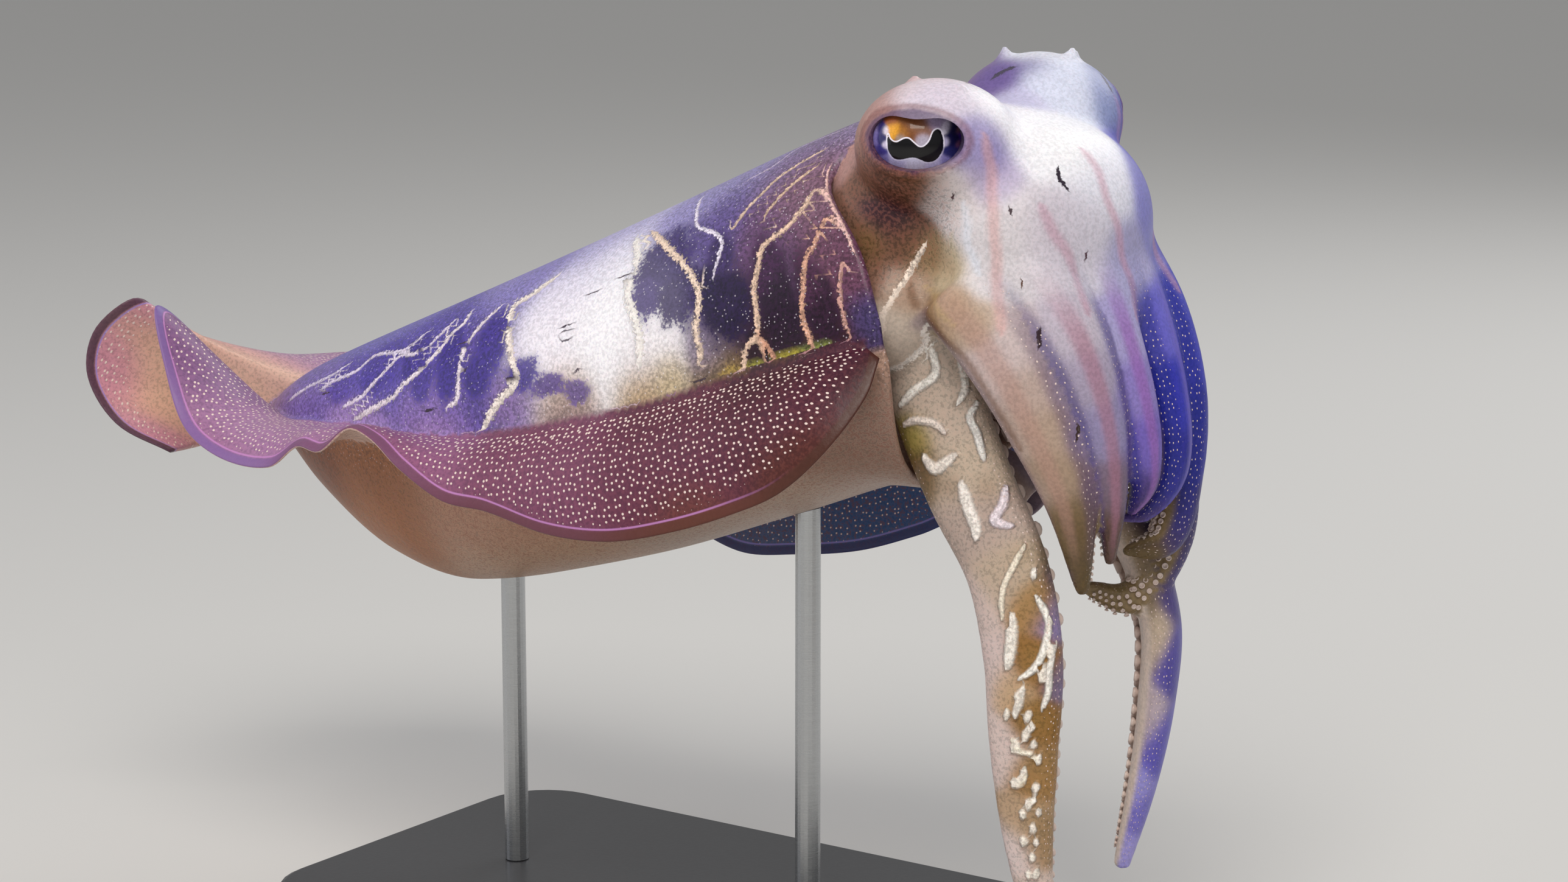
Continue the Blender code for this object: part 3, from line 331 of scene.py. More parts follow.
# centre, reach and colour of each wash on the head and arms; the deep blues on the front and the left side of
# the head and arms are partly the skin's own lavender and partly painted blue rim light
HEAD_WASHES = [
    ((62, -24, 106), 9, "#dccdd6"), ((48, -28, 98), 8, "#b48c86"), ((52, -40, 90), 6, "#b99490"),
    ((72, -30, 102), 7, "#d9cfe0"), ((80, -18, 96), 9, "#f0eef8"), ((92, -10, 90), 10, "#f4f4fc"),
    ((83, -32, 89), 6, "#a59bcb"), ((84, -31, 80), 5, "#b5a8c8"), ((76, -36, 75), 6, "#ddd3d4"),
    ((88, -33, 65), 9, "#d9d3d8"), ((67, -42, 78), 4.5, "#7d5640"), ((58, -40, 74), 5, "#6a4030"),
    ((56, -35, 69), 4.5, "#40203a"), ((61, -32, 64), 5, "#6e4a3a"), ((50, -34, 60), 6, "#8a6656"),
    ((54, -36, 80), 5, "#7a5644"), ((66, -31, 60), 4.5, "#a8906c"), ((74, -32, 57), 5, "#c8b89c"),
    ((60, -29, 52), 5, "#b09684"), ((78, -39, 49), 4.0, "#b89c84"), ((70, -38, 48), 4.0, "#9c7c5c"),
    ((86, -39, 45), 4.0, "#b8a08c"), ((50, -20, 42), 6, "#b59c8c"),
    ((99, -26, 66), 8, "#cbc3d0"), ((102, -16, 66), 8, "#d3cedc"), ((102, -6, 78), 8, "#e6e6f4"),
    ((107, -3, 60), 7, "#aaa6d0"), ((104, 12, 72), 7, "#8886d0"), ((96, 28, 78), 8, "#5d58c4"),
    ((88, 38, 70), 8, "#4338a8"), ((60, 40, 70), 14, "#8f80a0"), ((66, 24, 106), 7, "#e2e4f2"),
    ((76, 16, 100), 7, "#dadff4"), ((82, 26, 96), 6, "#8d98c8"), ((58, 10, 100), 7, "#6f5c9a"),
    ((48, 16, 98), 7, "#7f6698"), ((84, 36, 90), 6, "#3f36a6"), ((56, 0, 92), 7, "#8d7aa4"),
    ((70, 2, 92), 6, "#c8c4e4"), ((52, -8, 98), 5, "#a2869c"),
    ((94, -37, 40), 6, "#c9b8b8"), ((97, -36, 28), 6, "#bba59c"), ((101, -34, 18), 6, "#b39b8a"),
    ((104, -31, 8), 6, "#a58d78"), ((107, -27, -4), 6, "#7c6647"), ((107, -22, -20), 7, "#5f4d30"),
    ((89, -38, 30), 4.5, "#cdb9b6"), ((93, -37, 15), 5, "#c3aca4"), ((97, -33, 2), 5, "#b59c92"),
    ((107, -30, 44), 6, "#c2b8c8"), ((110, -29, 32), 6, "#aa9fb8"), ((113, -25, 18), 6, "#958cb4"),
    ((113, -20, 4), 6, "#7d6a80"), ((110, -15, -12), 6, "#5e4640"),
    ((112, -12, 42), 6, "#aaa2d2"), ((116, -11, 28), 6, "#8f80c6"), ((118, -9, 14), 6, "#7563bc"),
    ((115, -6, 0), 6, "#4c3a80"), ((112, 6, 42), 6, "#6a66cc"), ((116, 8, 24), 6, "#3438b4"),
    ((117, 9, 6), 6, "#2a2c96"), ((110, 24, 34), 7, "#3c40b8"), ((114, 24, 12), 7, "#3034a0"),
    ((114, 17, -12), 6, "#3a3278"), ((106, 8, -19), 5, "#6b5a3a"), ((106, 32, 10), 8, "#3f3c9c"),
    ((108, 24, -22), 6, "#463c70"), ((98, 12, -34), 5, "#6d5b3c"), ((90, 4, -30), 5, "#8d7558"),
    ((60, -30, 32), 8, "#cabaac"), ((70, -30, 20), 8, "#cbb9aa"), ((61, -30, 12), 4.5, "#a08f50"),
    ((63, -31, 4), 5, "#7c6440"), ((76, -30, 6), 7, "#cdbba8"), ((80, -29, -8), 7, "#bdaaa0"),
    ((88, -30, -20), 6, "#c4b09c"), ((80, -24, -28), 6, "#d8c4be"), ((96, -28, -27), 4.5, "#a8814c"),
    ((100, -24, -30), 4, "#8f7fa8"), ((97, -28, -42), 4.5, "#94692c"), ((101, -23, -46), 3.5, "#7d6c86"),
    ((83, -26, -46), 6, "#dcc8c4"), ((90, -29, -50), 4.5, "#c8a884"), ((96, -27, -58), 4.5, "#936a2e"),
    ((86, -26, -66), 6, "#e0ccc6"), ((96, -26, -72), 5, "#a37c48"), ((92, -26, -84), 5, "#bfa284"),
    ((97, -23, -90), 4.5, "#a58660"), ((89, -24, -92), 5, "#e6d4d0"), ((95, -22, -108), 6, "#d8c4ba"),
    ((100, 16, -24), 5, "#bda88c"), ((98, 17, -42), 6, "#c3b09c"), ((97, 17, -64), 6, "#baaab4"),
    ((110, 28, -30), 6, "#4a3f86"), ((109, 28, -50), 6, "#5148a4"), ((105, 26, -72), 6, "#6058bc"),
    ((96, 17, -84), 5, "#9c96dc"), ((99, 22, -92), 5, "#7a72c8"), ((96, 20, -106), 6, "#a49ce0"),
]
# colours down the middle and along the edges of each arm, and how strongly they show; the deep blues of the
# front and left arms are partly their own purple and partly painted blue rim light
ARM_STRIPES = {
    "arm_3_right": ("#b58c80", "#5e4468", 0.5), "arm_2_right": ("#a8748a", "#40307c", 0.65),
    "arm_1_right": ("#9a68b8", "#2c2c90", 0.75), "arm_1_left": ("#6a5cc8", "#20288c", 0.7),
    "arm_2_left": ("#5a50bc", "#1c2684", 0.6), "arm_3_left": ("#5a50a8", "#262a78", 0.5),
    "arm_4_left": ("#b8aee8", "#5048b0", 0.4),
}
HEAD_STRIPES = [
    (1.9, "#d8a6a4", [(83, -32, 92), (83, -30, 81), (86, -33, 70), (87, -33, 62), (88, -33, 53),
                      (92, -37, 43)]),
    (1.9, "#c090a6", [(95, -26, 74), (98, -24, 67), (100, -21, 60), (105, -22, 55), (109, -25, 48)]),
    (1.8, "#cc98ac", [(97, -8, 88), (99, -7, 84), (102, -8, 79), (105, -8, 73), (107, -5, 64),
                      (109, -3, 55), (113, -5, 45)]),
    (1.8, "#b08cc4", [(84, 28, 96), (90, 27, 86), (96, 24, 76), (101, 22, 66)]),
    # the dark brown line along the fold at the lower edge of the third arm is a painted shadow, and the pale
    # yellow line beside it is a painted highlight; both are mirrored to the left side
    (1.6, "#6e4420", [(58, -28, 50), (64, -34, 48), (71, -38, 45), (77, -38, 40), (84, -39, 33),
                      (89, -38, 24), (94, -37, 12)]),
    (1.2, "#c4a878", [(66, -33, 53), (73, -37, 49), (79, -38, 44)]),
    (1.6, "#dfe6f4", [(78, -33, 74), (80, -33, 64), (83, -34, 56)]),
    (1.5, "#c8b89c", [(74, -34, 66), (76, -34, 58)]),
]
# half width, colour and points, as t and share of the half width, of each white fold on the near arm
NEAR_ARM = "arm_4_right"
ARM_RIDGES = [
    (1.2, "#f3eee8", [(.02, -.25), (.05, -.36), (.08, -.33), (.095, .16), (.11, .62)]),
    (1.1, "#f0eae4", [(.05, -.80), (.09, -.84), (.115, -.80), (.135, -.60)]),
    (1.1, "#f6f2ee", [(.14, -.93), (.16, -.74), (.185, -.76), (.23, -.70)]),
    (1.1, "#e9dcd4", [(.135, .70), (.135, .36), (.15, -.05), (.17, -.20)]),
    (1.6, "#f2e8e0", [(.185, .46), (.21, .32), (.205, -.23)]),
    (1.8, "#f6eee8", [(.245, -.12), (.28, -.04), (.315, .02), (.33, .14)]),
    (1.3, "#efe2ea", [(.28, -.89), (.305, -.71), (.32, -.42), (.34, -.72)]),
    (0.9, "#f4e8d6", [(.365, -.80), (.385, -.43), (.41, -.06), (.435, .11), (.46, .14)]),
    (1.7, "#f8f0e6", [(.45, -.12), (.49, .02), (.53, .19)]),
    (1.0, "#fbf6ee", [(.43, -.70), (.46, -.84), (.475, -.84), (.51, -.66), (.53, -.45), (.545, -.08)]),
    (0.9, "#f8f2ea", [(.495, -.93), (.525, -.80), (.565, -.75), (.59, -.62)]),
    (1.2, "#f8f0e6", [(.555, -.20), (.58, -.08), (.605, .04)]),
    (0.9, "#f4ead8", [(.635, .16), (.655, -.10), (.66, -.34), (.668, -.60)]),
    (0.9, "#f4ead8", [(.68, -.28), (.695, -.24), (.715, -.13)]),
    (1.1, "#fbf4ec", [(.395, -.80), (.41, -.72)]),
    (1.2, "#fbf4ec", [(.61, -.42), (.62, -.46)]),
    (1.2, "#fbf4ec", [(.728, -.50), (.735, -.53)]),
]
# half length in t and fullness of the long white blots, and of the round ones that follow them down the arm
LONG_BLOT = (0.009, 1.8)
ROUND_BLOT = (0.006, 2.4)
LAST_LONG_BLOT = 0.7
# t, share of the half width, and half width of each white blot on the near arm
ARM_BLOTS = [
    (.572, -.07, 1.1), (.600, -.32, 0.9), (.628, -.28, 1.0), (.602, .25, 0.8), (.645, -.48, 0.8),
    (.650, .02, 1.2), (.668, -.62, 0.7), (.690, -.22, 1.0), (.708, .08, 1.0), (.712, -.55, 0.8),
    (.738, -.35, 0.9), (.756, -.12, 0.8), (.752, -.64, 0.6), (.778, -.45, 0.8), (.800, -.55, 0.6),
    (.798, -.10, 0.9), (.825, -.36, 0.7), (.850, -.50, 0.6), (.852, -.15, 0.7), (.880, -.30, 0.6),
    (.910, -.20, 0.5), (.540, -.62, 0.8), (.505, -.80, 0.8), (.470, -.86, 0.8),
]
# half width, colour and points of the crisp marks on the head
HEAD_LINES = [
    (0.9, "#ead9cc", [(66, -34, 62), (63, -35, 56), (60, -37, 50), (57, -38, 43), (56, -38, 38)]),
    (1.2, "#f0e8e2", [(53, -28, 31), (57, -28, 36), (61, -28, 39), (67, -32, 42)]),
    (0.8, "#2c2030", [(95, -18, 82), (97, -19, 80), (99, -19, 78)]),
    (1.0, "#33202a", [(99, -32, 44), (99, -32, 40)]), (0.9, "#3a2824", [(106, -25, 20), (107, -26, 17)]),
    (0.8, "#3a2430", [(90, -31, 73), (90, -31, 72)]), (0.7, "#5a3c30", [(94, -32, 56), (94, -32, 55)]),
    (0.8, "#4c2a3a", [(103, -17, 62), (103, -17, 61)]), (1.3, "#4a4458", [(59, 9, 102), (64, 13, 103)]),
    (1.2, "#5a5874", [(78, 28, 99), (82, 27, 96)]), (0.8, "#4a3038", [(76, -35, 76), (76, -35, 75)]),
    (0.8, "#5a4a50", [(70, -20, 104), (71, -20, 104)]),
]
# centre, reach, colour and strength of each glaze laid over the head and arms: most are the skin's own
# patches, and the rest are painted highlights, painted shade and painted blue rim light
HEAD_GLAZES = [
    ((59, -42, 81), 6.5, "#5a3420", 0.8), ((67, -43, 80), 5.5, "#6e452c", 0.7),
    ((74, -41, 80), 4, "#8a6248", 0.4), ((62, -40, 76), 7, "#5c3826", 0.75),
    ((57, -36, 69), 6.5, "#3e1a26", 0.8), ((60, -32, 62), 5, "#7c5238", 0.6),
    ((52, -38, 84), 6, "#8a5a3c", 0.6), ((50, -34, 62), 5, "#b08a50", 0.5),
    ((66, -31, 60), 4.5, "#a47c58", 0.3), ((73, -32, 57), 4.5, "#c8a884", 0.3),
    ((50, -26, 46), 5, "#6a4a34", 0.5), ((60, -29, 12), 4, "#a59650", 0.6),
    ((62, -31, 5), 4.5, "#5c4426", 0.8), ((72, -30, 1), 3.5, "#7a5c40", 0.4),
    ((96, -28, -26), 4, "#a08258", 0.45), ((97, -28, -41), 4.5, "#9a7a48", 0.5),
    ((96, -27, -57), 4.5, "#96743c", 0.6), ((97, -25, -68), 4, "#96784a", 0.6),
    ((97, -24, -84), 4.5, "#96784c", 0.6), ((83, -28, 2), 4, "#8c6c48", 0.4),
    ((94, -29, -14), 4, "#a08858", 0.3), ((101, -22, -20), 3, "#8274b0", 0.7),
    ((102, -22, -34), 3, "#8a7cb4", 0.7), ((101, -21, -50), 3, "#8478a8", 0.6),
    ((107, -28, -8), 5, "#5c4824", 0.7), ((107, -20, -22), 6, "#5c4824", 0.7),
    ((112, -19, -6), 6, "#5a4030", 0.6), ((104, 16, -26), 6, "#6a5634", 0.6),
    ((96, 10, -33), 7, "#7c683e", 0.7), ((108, 10, -16), 6, "#66502c", 0.7),
    # next: the near-white glazes on the top of the head are painted highlights, the grey-blue one low on the
    # far dome is painted shade, and the deep blues on the far dome's outer edge are painted blue rim light
    ((84, -30, 86), 4, "#8c80c0", 0.5), ((76, -22, 101), 6, "#fafaff", 0.4),
    ((92, -12, 88), 8, "#fcfcff", 0.5), ((80, 27, 99), 6, "#8f93b8", 0.6),
    ((86, 36, 92), 7, "#3a34a8", 0.7), ((78, 42, 92), 8, "#4a3ea8", 0.6),
    ((68, 14, 104), 5, "#54408c", 0.5), ((53, -20, 103), 6, "#c08e86", 0.4),
    ((48, -38, 92), 4.5, "#a87864", 0.5),
]


def smooth_between(places, values, x):
    """Value at x of a smooth curve through the values, without overshoot"""
    steps = np.diff(values) / np.diff(places)
    slopes = np.zeros(len(places))
    slopes[0] = steps[0]
    slopes[-1] = steps[-1]
    for i in range(1, len(places) - 1):
        if steps[i - 1] * steps[i] > 0:
            slopes[i] = 2 * steps[i - 1] * steps[i] / (steps[i - 1] + steps[i])
    i = int(np.clip(np.searchsorted(places, x) - 1, 0, len(places) - 2))
    span = places[i + 1] - places[i]
    t = min(max((x - places[i]) / span, 0.0), 1.0)
    return ((1 + 2 * t) * (1 - t) ** 2 * values[i] + t * (1 - t) ** 2 * span * slopes[i]
            + t * t * (3 - 2 * t) * values[i + 1] + t * t * (t - 1) * span * slopes[i + 1])


def along(points, t):
    """Point at t, from 0 to 1, on a smooth curve through the points, spaced by length"""
    points = np.array(points, dtype=float)
    runs = np.linalg.norm(np.diff(points[:, :3], axis=0), axis=1)
    places = np.concatenate([[0.0], np.cumsum(runs)])
    x = min(max(t, 0.0), 1.0) * places[-1]
    i = int(np.clip(np.searchsorted(places, x) - 1, 0, len(places) - 2))
    before = points[max(i - 1, 0)]
    after = points[min(i + 2, len(points) - 1)]
    span = places[i + 1] - places[i]
    slope_a = (points[i + 1] - before) / (places[i + 1] - places[max(i - 1, 0)])
    slope_b = (after - points[i]) / (places[min(i + 2, len(points) - 1)] - places[i])
    u = (x - places[i]) / span
    return ((1 + 2 * u) * (1 - u) ** 2 * points[i] + u * (1 - u) ** 2 * span * slope_a
            + u * u * (3 - 2 * u) * points[i + 1] + u * u * (u - 1) * span * slope_b)


def line_length(points):
    """Length of a line of points"""
    return np.linalg.norm(np.diff(points, axis=0), axis=1).sum()


def power(value, exponent):
    """Power that keeps the sign of its value"""
    return np.sign(value) * np.abs(value) ** exponent


def turns_round(count):
    """Angles of so many places round a circle"""
    return np.arange(count) * math.tau / count


def unit(vector):
    """Vector of length 1 in the same direction"""
    return vector / np.linalg.norm(vector)


def step(value, low, high):
    """Smooth rise from 0 at low to 1 at high"""
    t = np.clip((value - low) / (high - low), 0.0, 1.0)
    return t * t * (3 - 2 * t)


def to_world(point):
    """Point in the scene's own frame, in metres"""
    return Vector((np.asarray(point) + SHIFT) * MM)


def new_object(name, bm, recalculate=True):
    """Smooth mesh object from a bmesh, its faces turned outwards"""
    if recalculate:
        bmesh.ops.recalc_face_normals(bm, faces=bm.faces)
        if bm.calc_volume(signed=True) < 0:
            bmesh.ops.reverse_faces(bm, faces=bm.faces)
    for face in bm.faces:
        face.smooth = True
    mesh = bpy.data.meshes.new(name)
    bm.to_mesh(mesh)
    bm.free()
    obj = bpy.data.objects.new(name, mesh)
    bpy.context.scene.collection.objects.link(obj)
    return obj


def drawn_sphere(name, points):
    """UV sphere drawn out to rows of points, whose first and last rows are its poles"""
    rows = len(points) - 1
    around = len(points[0])
    bm = bmesh.new()
    bmesh.ops.create_uvsphere(bm, u_segments=around, v_segments=rows, radius=1.0)
    for vert in bm.verts:
        row = round(math.acos(max(-1.0, min(1.0, vert.co.z))) / math.pi * rows)
        column = round(math.atan2(vert.co.y, vert.co.x) / math.tau * around) % around
        vert.co = to_world(points[row][column])
    return new_object(name, bm)


def apply_modifiers(obj):
    """Makes what an object's modifiers give its own mesh"""
    bpy.context.view_layer.update()
    evaluated = obj.evaluated_get(bpy.context.evaluated_depsgraph_get())
    mesh = bpy.data.meshes.new_from_object(evaluated)
    obj.modifiers.clear()
    obj.data = mesh


def boolean(obj, others, operation, solver="MANIFOLD"):
    """Applies one Boolean of the other objects to obj and removes them"""
    group = bpy.data.collections.new(obj.name + "_others")
    bpy.context.scene.collection.children.link(group)
    for other in others:
        bpy.context.scene.collection.objects.unlink(other)
        group.objects.link(other)
    modifier = obj.modifiers.new("Boolean", "BOOLEAN")
    modifier.operation = operation
    modifier.solver = solver
    modifier.operand_type = "COLLECTION"
    modifier.collection = group
    apply_modifiers(obj)
    for other in others:
        bpy.data.objects.remove(other)
    bpy.data.collections.remove(group)


def joined(name, pieces):
    """One mesh object from several, which the remesh then melts together"""
    bm = bmesh.new()
    for piece in pieces:
        bm.from_mesh(piece.data)
        bpy.data.objects.remove(piece)
    return new_object(name, bm, recalculate=False)


def tree_of(places):
    """Search tree over places, for the nearest of them"""
    tree = KDTree(len(places))
    for i, place in enumerate(places):
        tree.insert(place, i)
    tree.balance()
    return tree


def vertex_places(obj):
    """Vertices of an object in the animal's own frame, in millimetres"""
    flat = np.zeros(len(obj.data.vertices) * 3)
    obj.data.vertices.foreach_get("co", flat)
    return flat.reshape(-1, 3) / MM - SHIFT


# Mantle


def mantle_axes():
    """Directions backwards along the mantle and up from it"""
    backwards = np.array([-math.cos(MANTLE_PITCH), 0.0, -math.sin(MANTLE_PITCH)])
    upwards = np.array([-math.sin(MANTLE_PITCH), 0.0, math.cos(MANTLE_PITCH)])
    return backwards, upwards


def collar_depth(angles):
    """How far the front edge lies back, round the mantle"""
    turn = np.abs(np.degrees(np.arctan2(np.sin(angles), np.cos(angles))))
    return (COLLAR_SIDE - COLLAR_LOBE * np.exp(-(turn / LOBE_SPREAD) ** 2)
            + COLLAR_EYE_BAY * np.exp(-((turn - BAY_TURN) / BAY_SPREAD) ** 2)
            + COLLAR_NOTCH * np.maximum(-np.cos(angles), 0.0) ** NOTCH_POWER)


def mantle_sizes(s):
    """Half width, back height, belly height and height of the fin line at station s"""
    return [smooth_between(MANTLE_STATIONS[:, 0], MANTLE_STATIONS[:, column], s) for column in range(1, 5)]


def mantle_ring(s, angles, inside=1.0):
    """Points of the mantle's skin round station s; angle 0 is the back, a quarter turn is the left side"""
    backwards, upwards = mantle_axes()
    half_width, back, belly, middle = mantle_sizes(s)
    across = power(np.sin(angles), 2 / SECTION_POWER) * half_width * inside
    rise = power(np.cos(angles), 2 / SECTION_POWER)
    height = np.where(rise > 0, back - middle, middle - belly)
    back_by = collar_depth(angles) * max(1.0 - max(s, 0.0) / COLLAR_FADE, 0.0) ** COLLAR_FADE_POWER
    ring = MANTLE_FRONT + backwards * (s * MANTLE_LENGTH + back_by)[:, None] + upwards * middle
    ring = ring + upwards * (rise * height * inside)[:, None]
    ring[:, 1] += across
    return ring


def mantle_form():
    """Mantle drawn out over rings from the floor of the collar to the tip of the tail"""
    angles = turns_round(MANTLE_AROUND)
    first = len(COLLAR_PROFILE)
    rings = []
    for row in range(MANTLE_ROWS + 1):
        if row < first:
            depth, inside = COLLAR_PROFILE[row]
            rings.append((depth / MANTLE_LENGTH, inside))
        elif row < MANTLE_ROWS:
            t = (row - first) / (MANTLE_ROWS - first)
            rings.append((LIP_STATION + (1.0 - LIP_STATION) * math.sin(t * math.pi / 2) ** ROW_CROWDING, 1.0))
        else:
            rings.append((1.0 + 1.0 / MANTLE_LENGTH, 0.0))
    points = [mantle_ring(s, angles, inside) for s, inside in rings]
    return drawn_sphere("mantle_form", points)


def mantle_chart(places):
    """Station along the mantle and angle round it, in degrees, of points on its skin"""
    backwards, upwards = mantle_axes()
    off = places - MANTLE_FRONT
    down = off @ backwards
    up = off @ upwards
    stations = np.linspace(-0.1, 1.1, 241)
    sizes = np.array([mantle_sizes(s) for s in stations])
    s = down / MANTLE_LENGTH
    for _ in range(CHART_PASSES):
        half_width, back, belly, middle = [np.interp(s, stations, sizes[:, column]) for column in range(4)]
        rise = up - middle
        height = np.where(rise > 0, back - middle, middle - belly)
        angle = np.arctan2(power(places[:, 1] / half_width, SECTION_POWER / 2),
                           power(rise / height, SECTION_POWER / 2))
        fade = np.clip(1.0 - np.maximum(s, 0.0) / COLLAR_FADE, 0.0, 1.0) ** COLLAR_FADE_POWER
        back_by = collar_depth(angle) * fade
        s = (down - back_by) / MANTLE_LENGTH
    return s, np.degrees(angle)


# Fins


def fin_sheet(side, ts, vs):
    """Points of a fin's middle sheet: t from collar to tail, v from root to free edge"""
    backwards, upwards = mantle_axes()
    outwards = np.array([0.0, side, 0.0])
    vs = np.array(vs)[:, None]
    sheet = []
    for t in ts:
        past = (t - ROOT_TURN) / (1.0 - ROOT_TURN)
        root_t = min(1.0, t * 1.22) if past < 0 else ROOT_AT_TURN + past * (1.0 - ROOT_AT_TURN)
        root = mantle_ring(ROOT_START + ROOT_REACH * root_t, np.array([side * math.pi / 2]), ROOT_SUNK)[0]
        edge = along(FIN_MARGINS[side], t)[:3]
        bow = np.sin(vs * math.pi) * FIN_BOW * np.linalg.norm(edge - root)
        swell = (outwards * 0.75 + upwards * 0.65) * bow * max(0.0, 1.0 - max(t - ROOT_TURN, 0.0) / 0.15)
        sweep = backwards * FAR_SWEEP * np.sin(vs * math.pi) * min(max((t - 0.75) / 0.1, 0.0), 1.0)
        sheet.append(root + (edge - root) * vs + swell + (sweep if side > 0 else 0.0))
    return np.array(sheet)


def fin_form(side):
    """A fin, with t, v, its face and the distance from its margin kept for every vertex"""
    ts = np.linspace(0.0, 1.0, FIN_ROWS + 1)
    vs = np.concatenate([np.linspace(0.0, 0.985, FIN_ACROSS - 1), [0.995, 1.0]])
    rounding = np.ones(len(vs))
    rounding[-2:] = (0.75, 0.25)
    sheet = fin_sheet(side, ts, vs)
    normals = np.cross(np.gradient(sheet, axis=0), np.gradient(sheet, axis=1))
    normals /= np.linalg.norm(normals, axis=2, keepdims=True)
    half = (FIN_ROOT + (FIN_MARGIN - FIN_ROOT) * vs ** 0.7) / 2 * rounding
    runs = np.linalg.norm(np.diff(sheet, axis=1), axis=2)
    from_root = np.concatenate([np.zeros((len(ts), 1)), np.cumsum(runs, axis=1)], axis=1)
    to_margin = from_root[:, -1:] - from_root
    down_fin = np.concatenate([[0.0], np.cumsum(np.linalg.norm(np.diff(sheet[:, 10], axis=0), axis=1))])
    bm = bmesh.new()
    bmesh.ops.create_grid(bm, x_segments=FIN_ROWS, y_segments=FIN_ACROSS, size=0.5)
    upper = bm.verts[:]
    twins = bmesh.ops.duplicate(bm, geom=bm.verts[:] + bm.edges[:] + bm.faces[:])["vert_map"]
    places, charts = [], []
    for vert in upper:
        i = round((vert.co.x + 0.5) * FIN_ROWS)
        j = round((vert.co.y + 0.5) * FIN_ACROSS)
        for face, facing in ((vert, 1.0), (twins[vert], -1.0)):
            place = sheet[i, j] + normals[i, j] * half[j] * facing
            face.co = to_world(place)
            places.append(place)
            charts.append((ts[i], vs[j], facing * side, to_margin[i, j], down_fin[i], from_root[i, j]))
    rims = [edge for edge in bm.edges if edge.is_boundary]
    bmesh.ops.bridge_loops(bm, edges=rims)
    return new_object(f"fin_form_{side}", bm), np.array(places), np.array(charts)


# Head and arms


def rolled(point):
    """Point of the head, rolled a little about the head's own axis"""
    x, y, z = point
    return np.array([x, y, z + y * math.tan(HEAD_ROLL)])


def ellipsoid(name, centre, radii, around=48, rows=32):
    """Egg-shaped mass with a radius for each direction"""
    turns = turns_round(around)
    points = []
    for row in range(rows + 1):
        polar = math.pi * row / rows
        ring = np.stack([np.cos(turns) * math.sin(polar), np.sin(turns) * math.sin(polar),
                         np.full(around, math.cos(polar))], axis=1)
        points.append(np.array(centre) + ring * radii)
    return drawn_sphere(name, points)


def arm_outward(name, t):
    """Direction that the outer face of an arm looks in, at t along it"""
    x, y = OUTWARD[name[4]]
    if name == "arm_4_left":
        turn = min(max((t - 0.15) / 0.25, 0.0), 1.0)
        x, y = np.array((x, y)) * (1 - turn) + np.array(FAR_ARM_TURN) * turn
    return np.array([x, y if name.endswith("left") else -y, 0.0])


def heading(points, t):
    """Direction of a line of points at t"""
    return unit(along(points, min(t + ARM_STEP, 1.0))[:3] - along(points, max(t - ARM_STEP, 0.0))[:3])


def arm_frame(name, t):
    """Centre and half sizes, and the outward, sideways and forward directions of an arm at t"""
    here = along(ARMS[name], t)
    ahead = heading(ARMS[name], t)
    out = arm_outward(name, t)
    out = unit(out - ahead * out.dot(ahead))
    return here, out, np.cross(ahead, out), ahead


def arm_form(name):
    """Arm drawn out along its centre line and rounded off at its tip"""
    turns = turns_round(ARM_AROUND)
    points = []
    for row in range(ARM_ROWS + 1):
        t = min(max((row - 1) / (ARM_ROWS - TIP_ROWS - 1), 0.0), 1.0)
        here, out, aside, ahead = arm_frame(name, t)
        past = max(row - (ARM_ROWS - TIP_ROWS), 0) / TIP_ROWS
        size = 0.0 if row == 0 else math.sqrt(max(1.0 - past * past, 0.0))
        across = power(np.cos(turns), ARM_SQUARENESS) * here[3] * size
        deep = power(np.sin(turns), ARM_SQUARENESS) * here[4] * size
        middle = here[:3] + ahead * here[4] * 0.5 * past
        points.append(middle + aside * across[:, None] + out * deep[:, None])
    return drawn_sphere(name, points)


def eye_centre(side):
    """Middle of an eyeball; side is -1 for the right and 1 for the left"""
    return rolled(EYE_CENTRE * (1, side, 1))


def eye_axes(side):
    """Directions that the pupil looks in, along it and up it"""
    facing = unit(np.array(EYE_FACING) * (1, side, 1))
    ahead = unit(np.array(EYE_AHEAD) * (1, side, 1))
    return facing, ahead, np.cross(ahead, facing) * side


def dome_point(side, along_eye, up_eye, sunk=0.0):
    """Point on the dome of an eye, over a place seen along the pupil's own direction"""
    centre, radii = [np.array(values, dtype=float) for values in HEAD_MASSES[1 if side < 0 else 2]]
    facing, ahead, up = eye_axes(side)
    start = eye_centre(side) + ahead * along_eye + up * up_eye
    shear = np.array([0.0, 0.0, math.tan(HEAD_ROLL)])
    offset = (start - shear * start[1] - centre) / radii
    heading = (facing - shear * facing[1]) / radii
    a, b, c = heading.dot(heading), offset.dot(heading), offset.dot(offset) - 1.0
    return start + facing * ((-b + math.sqrt(max(b * b - a * c, 0.0))) / a - sunk)


def lid_dip(turn):
    """How far the middle of the upper lid hangs down, at a turn round the opening"""
    return LID_DIP * math.exp(-(math.cos(turn) / 0.5) ** 2)


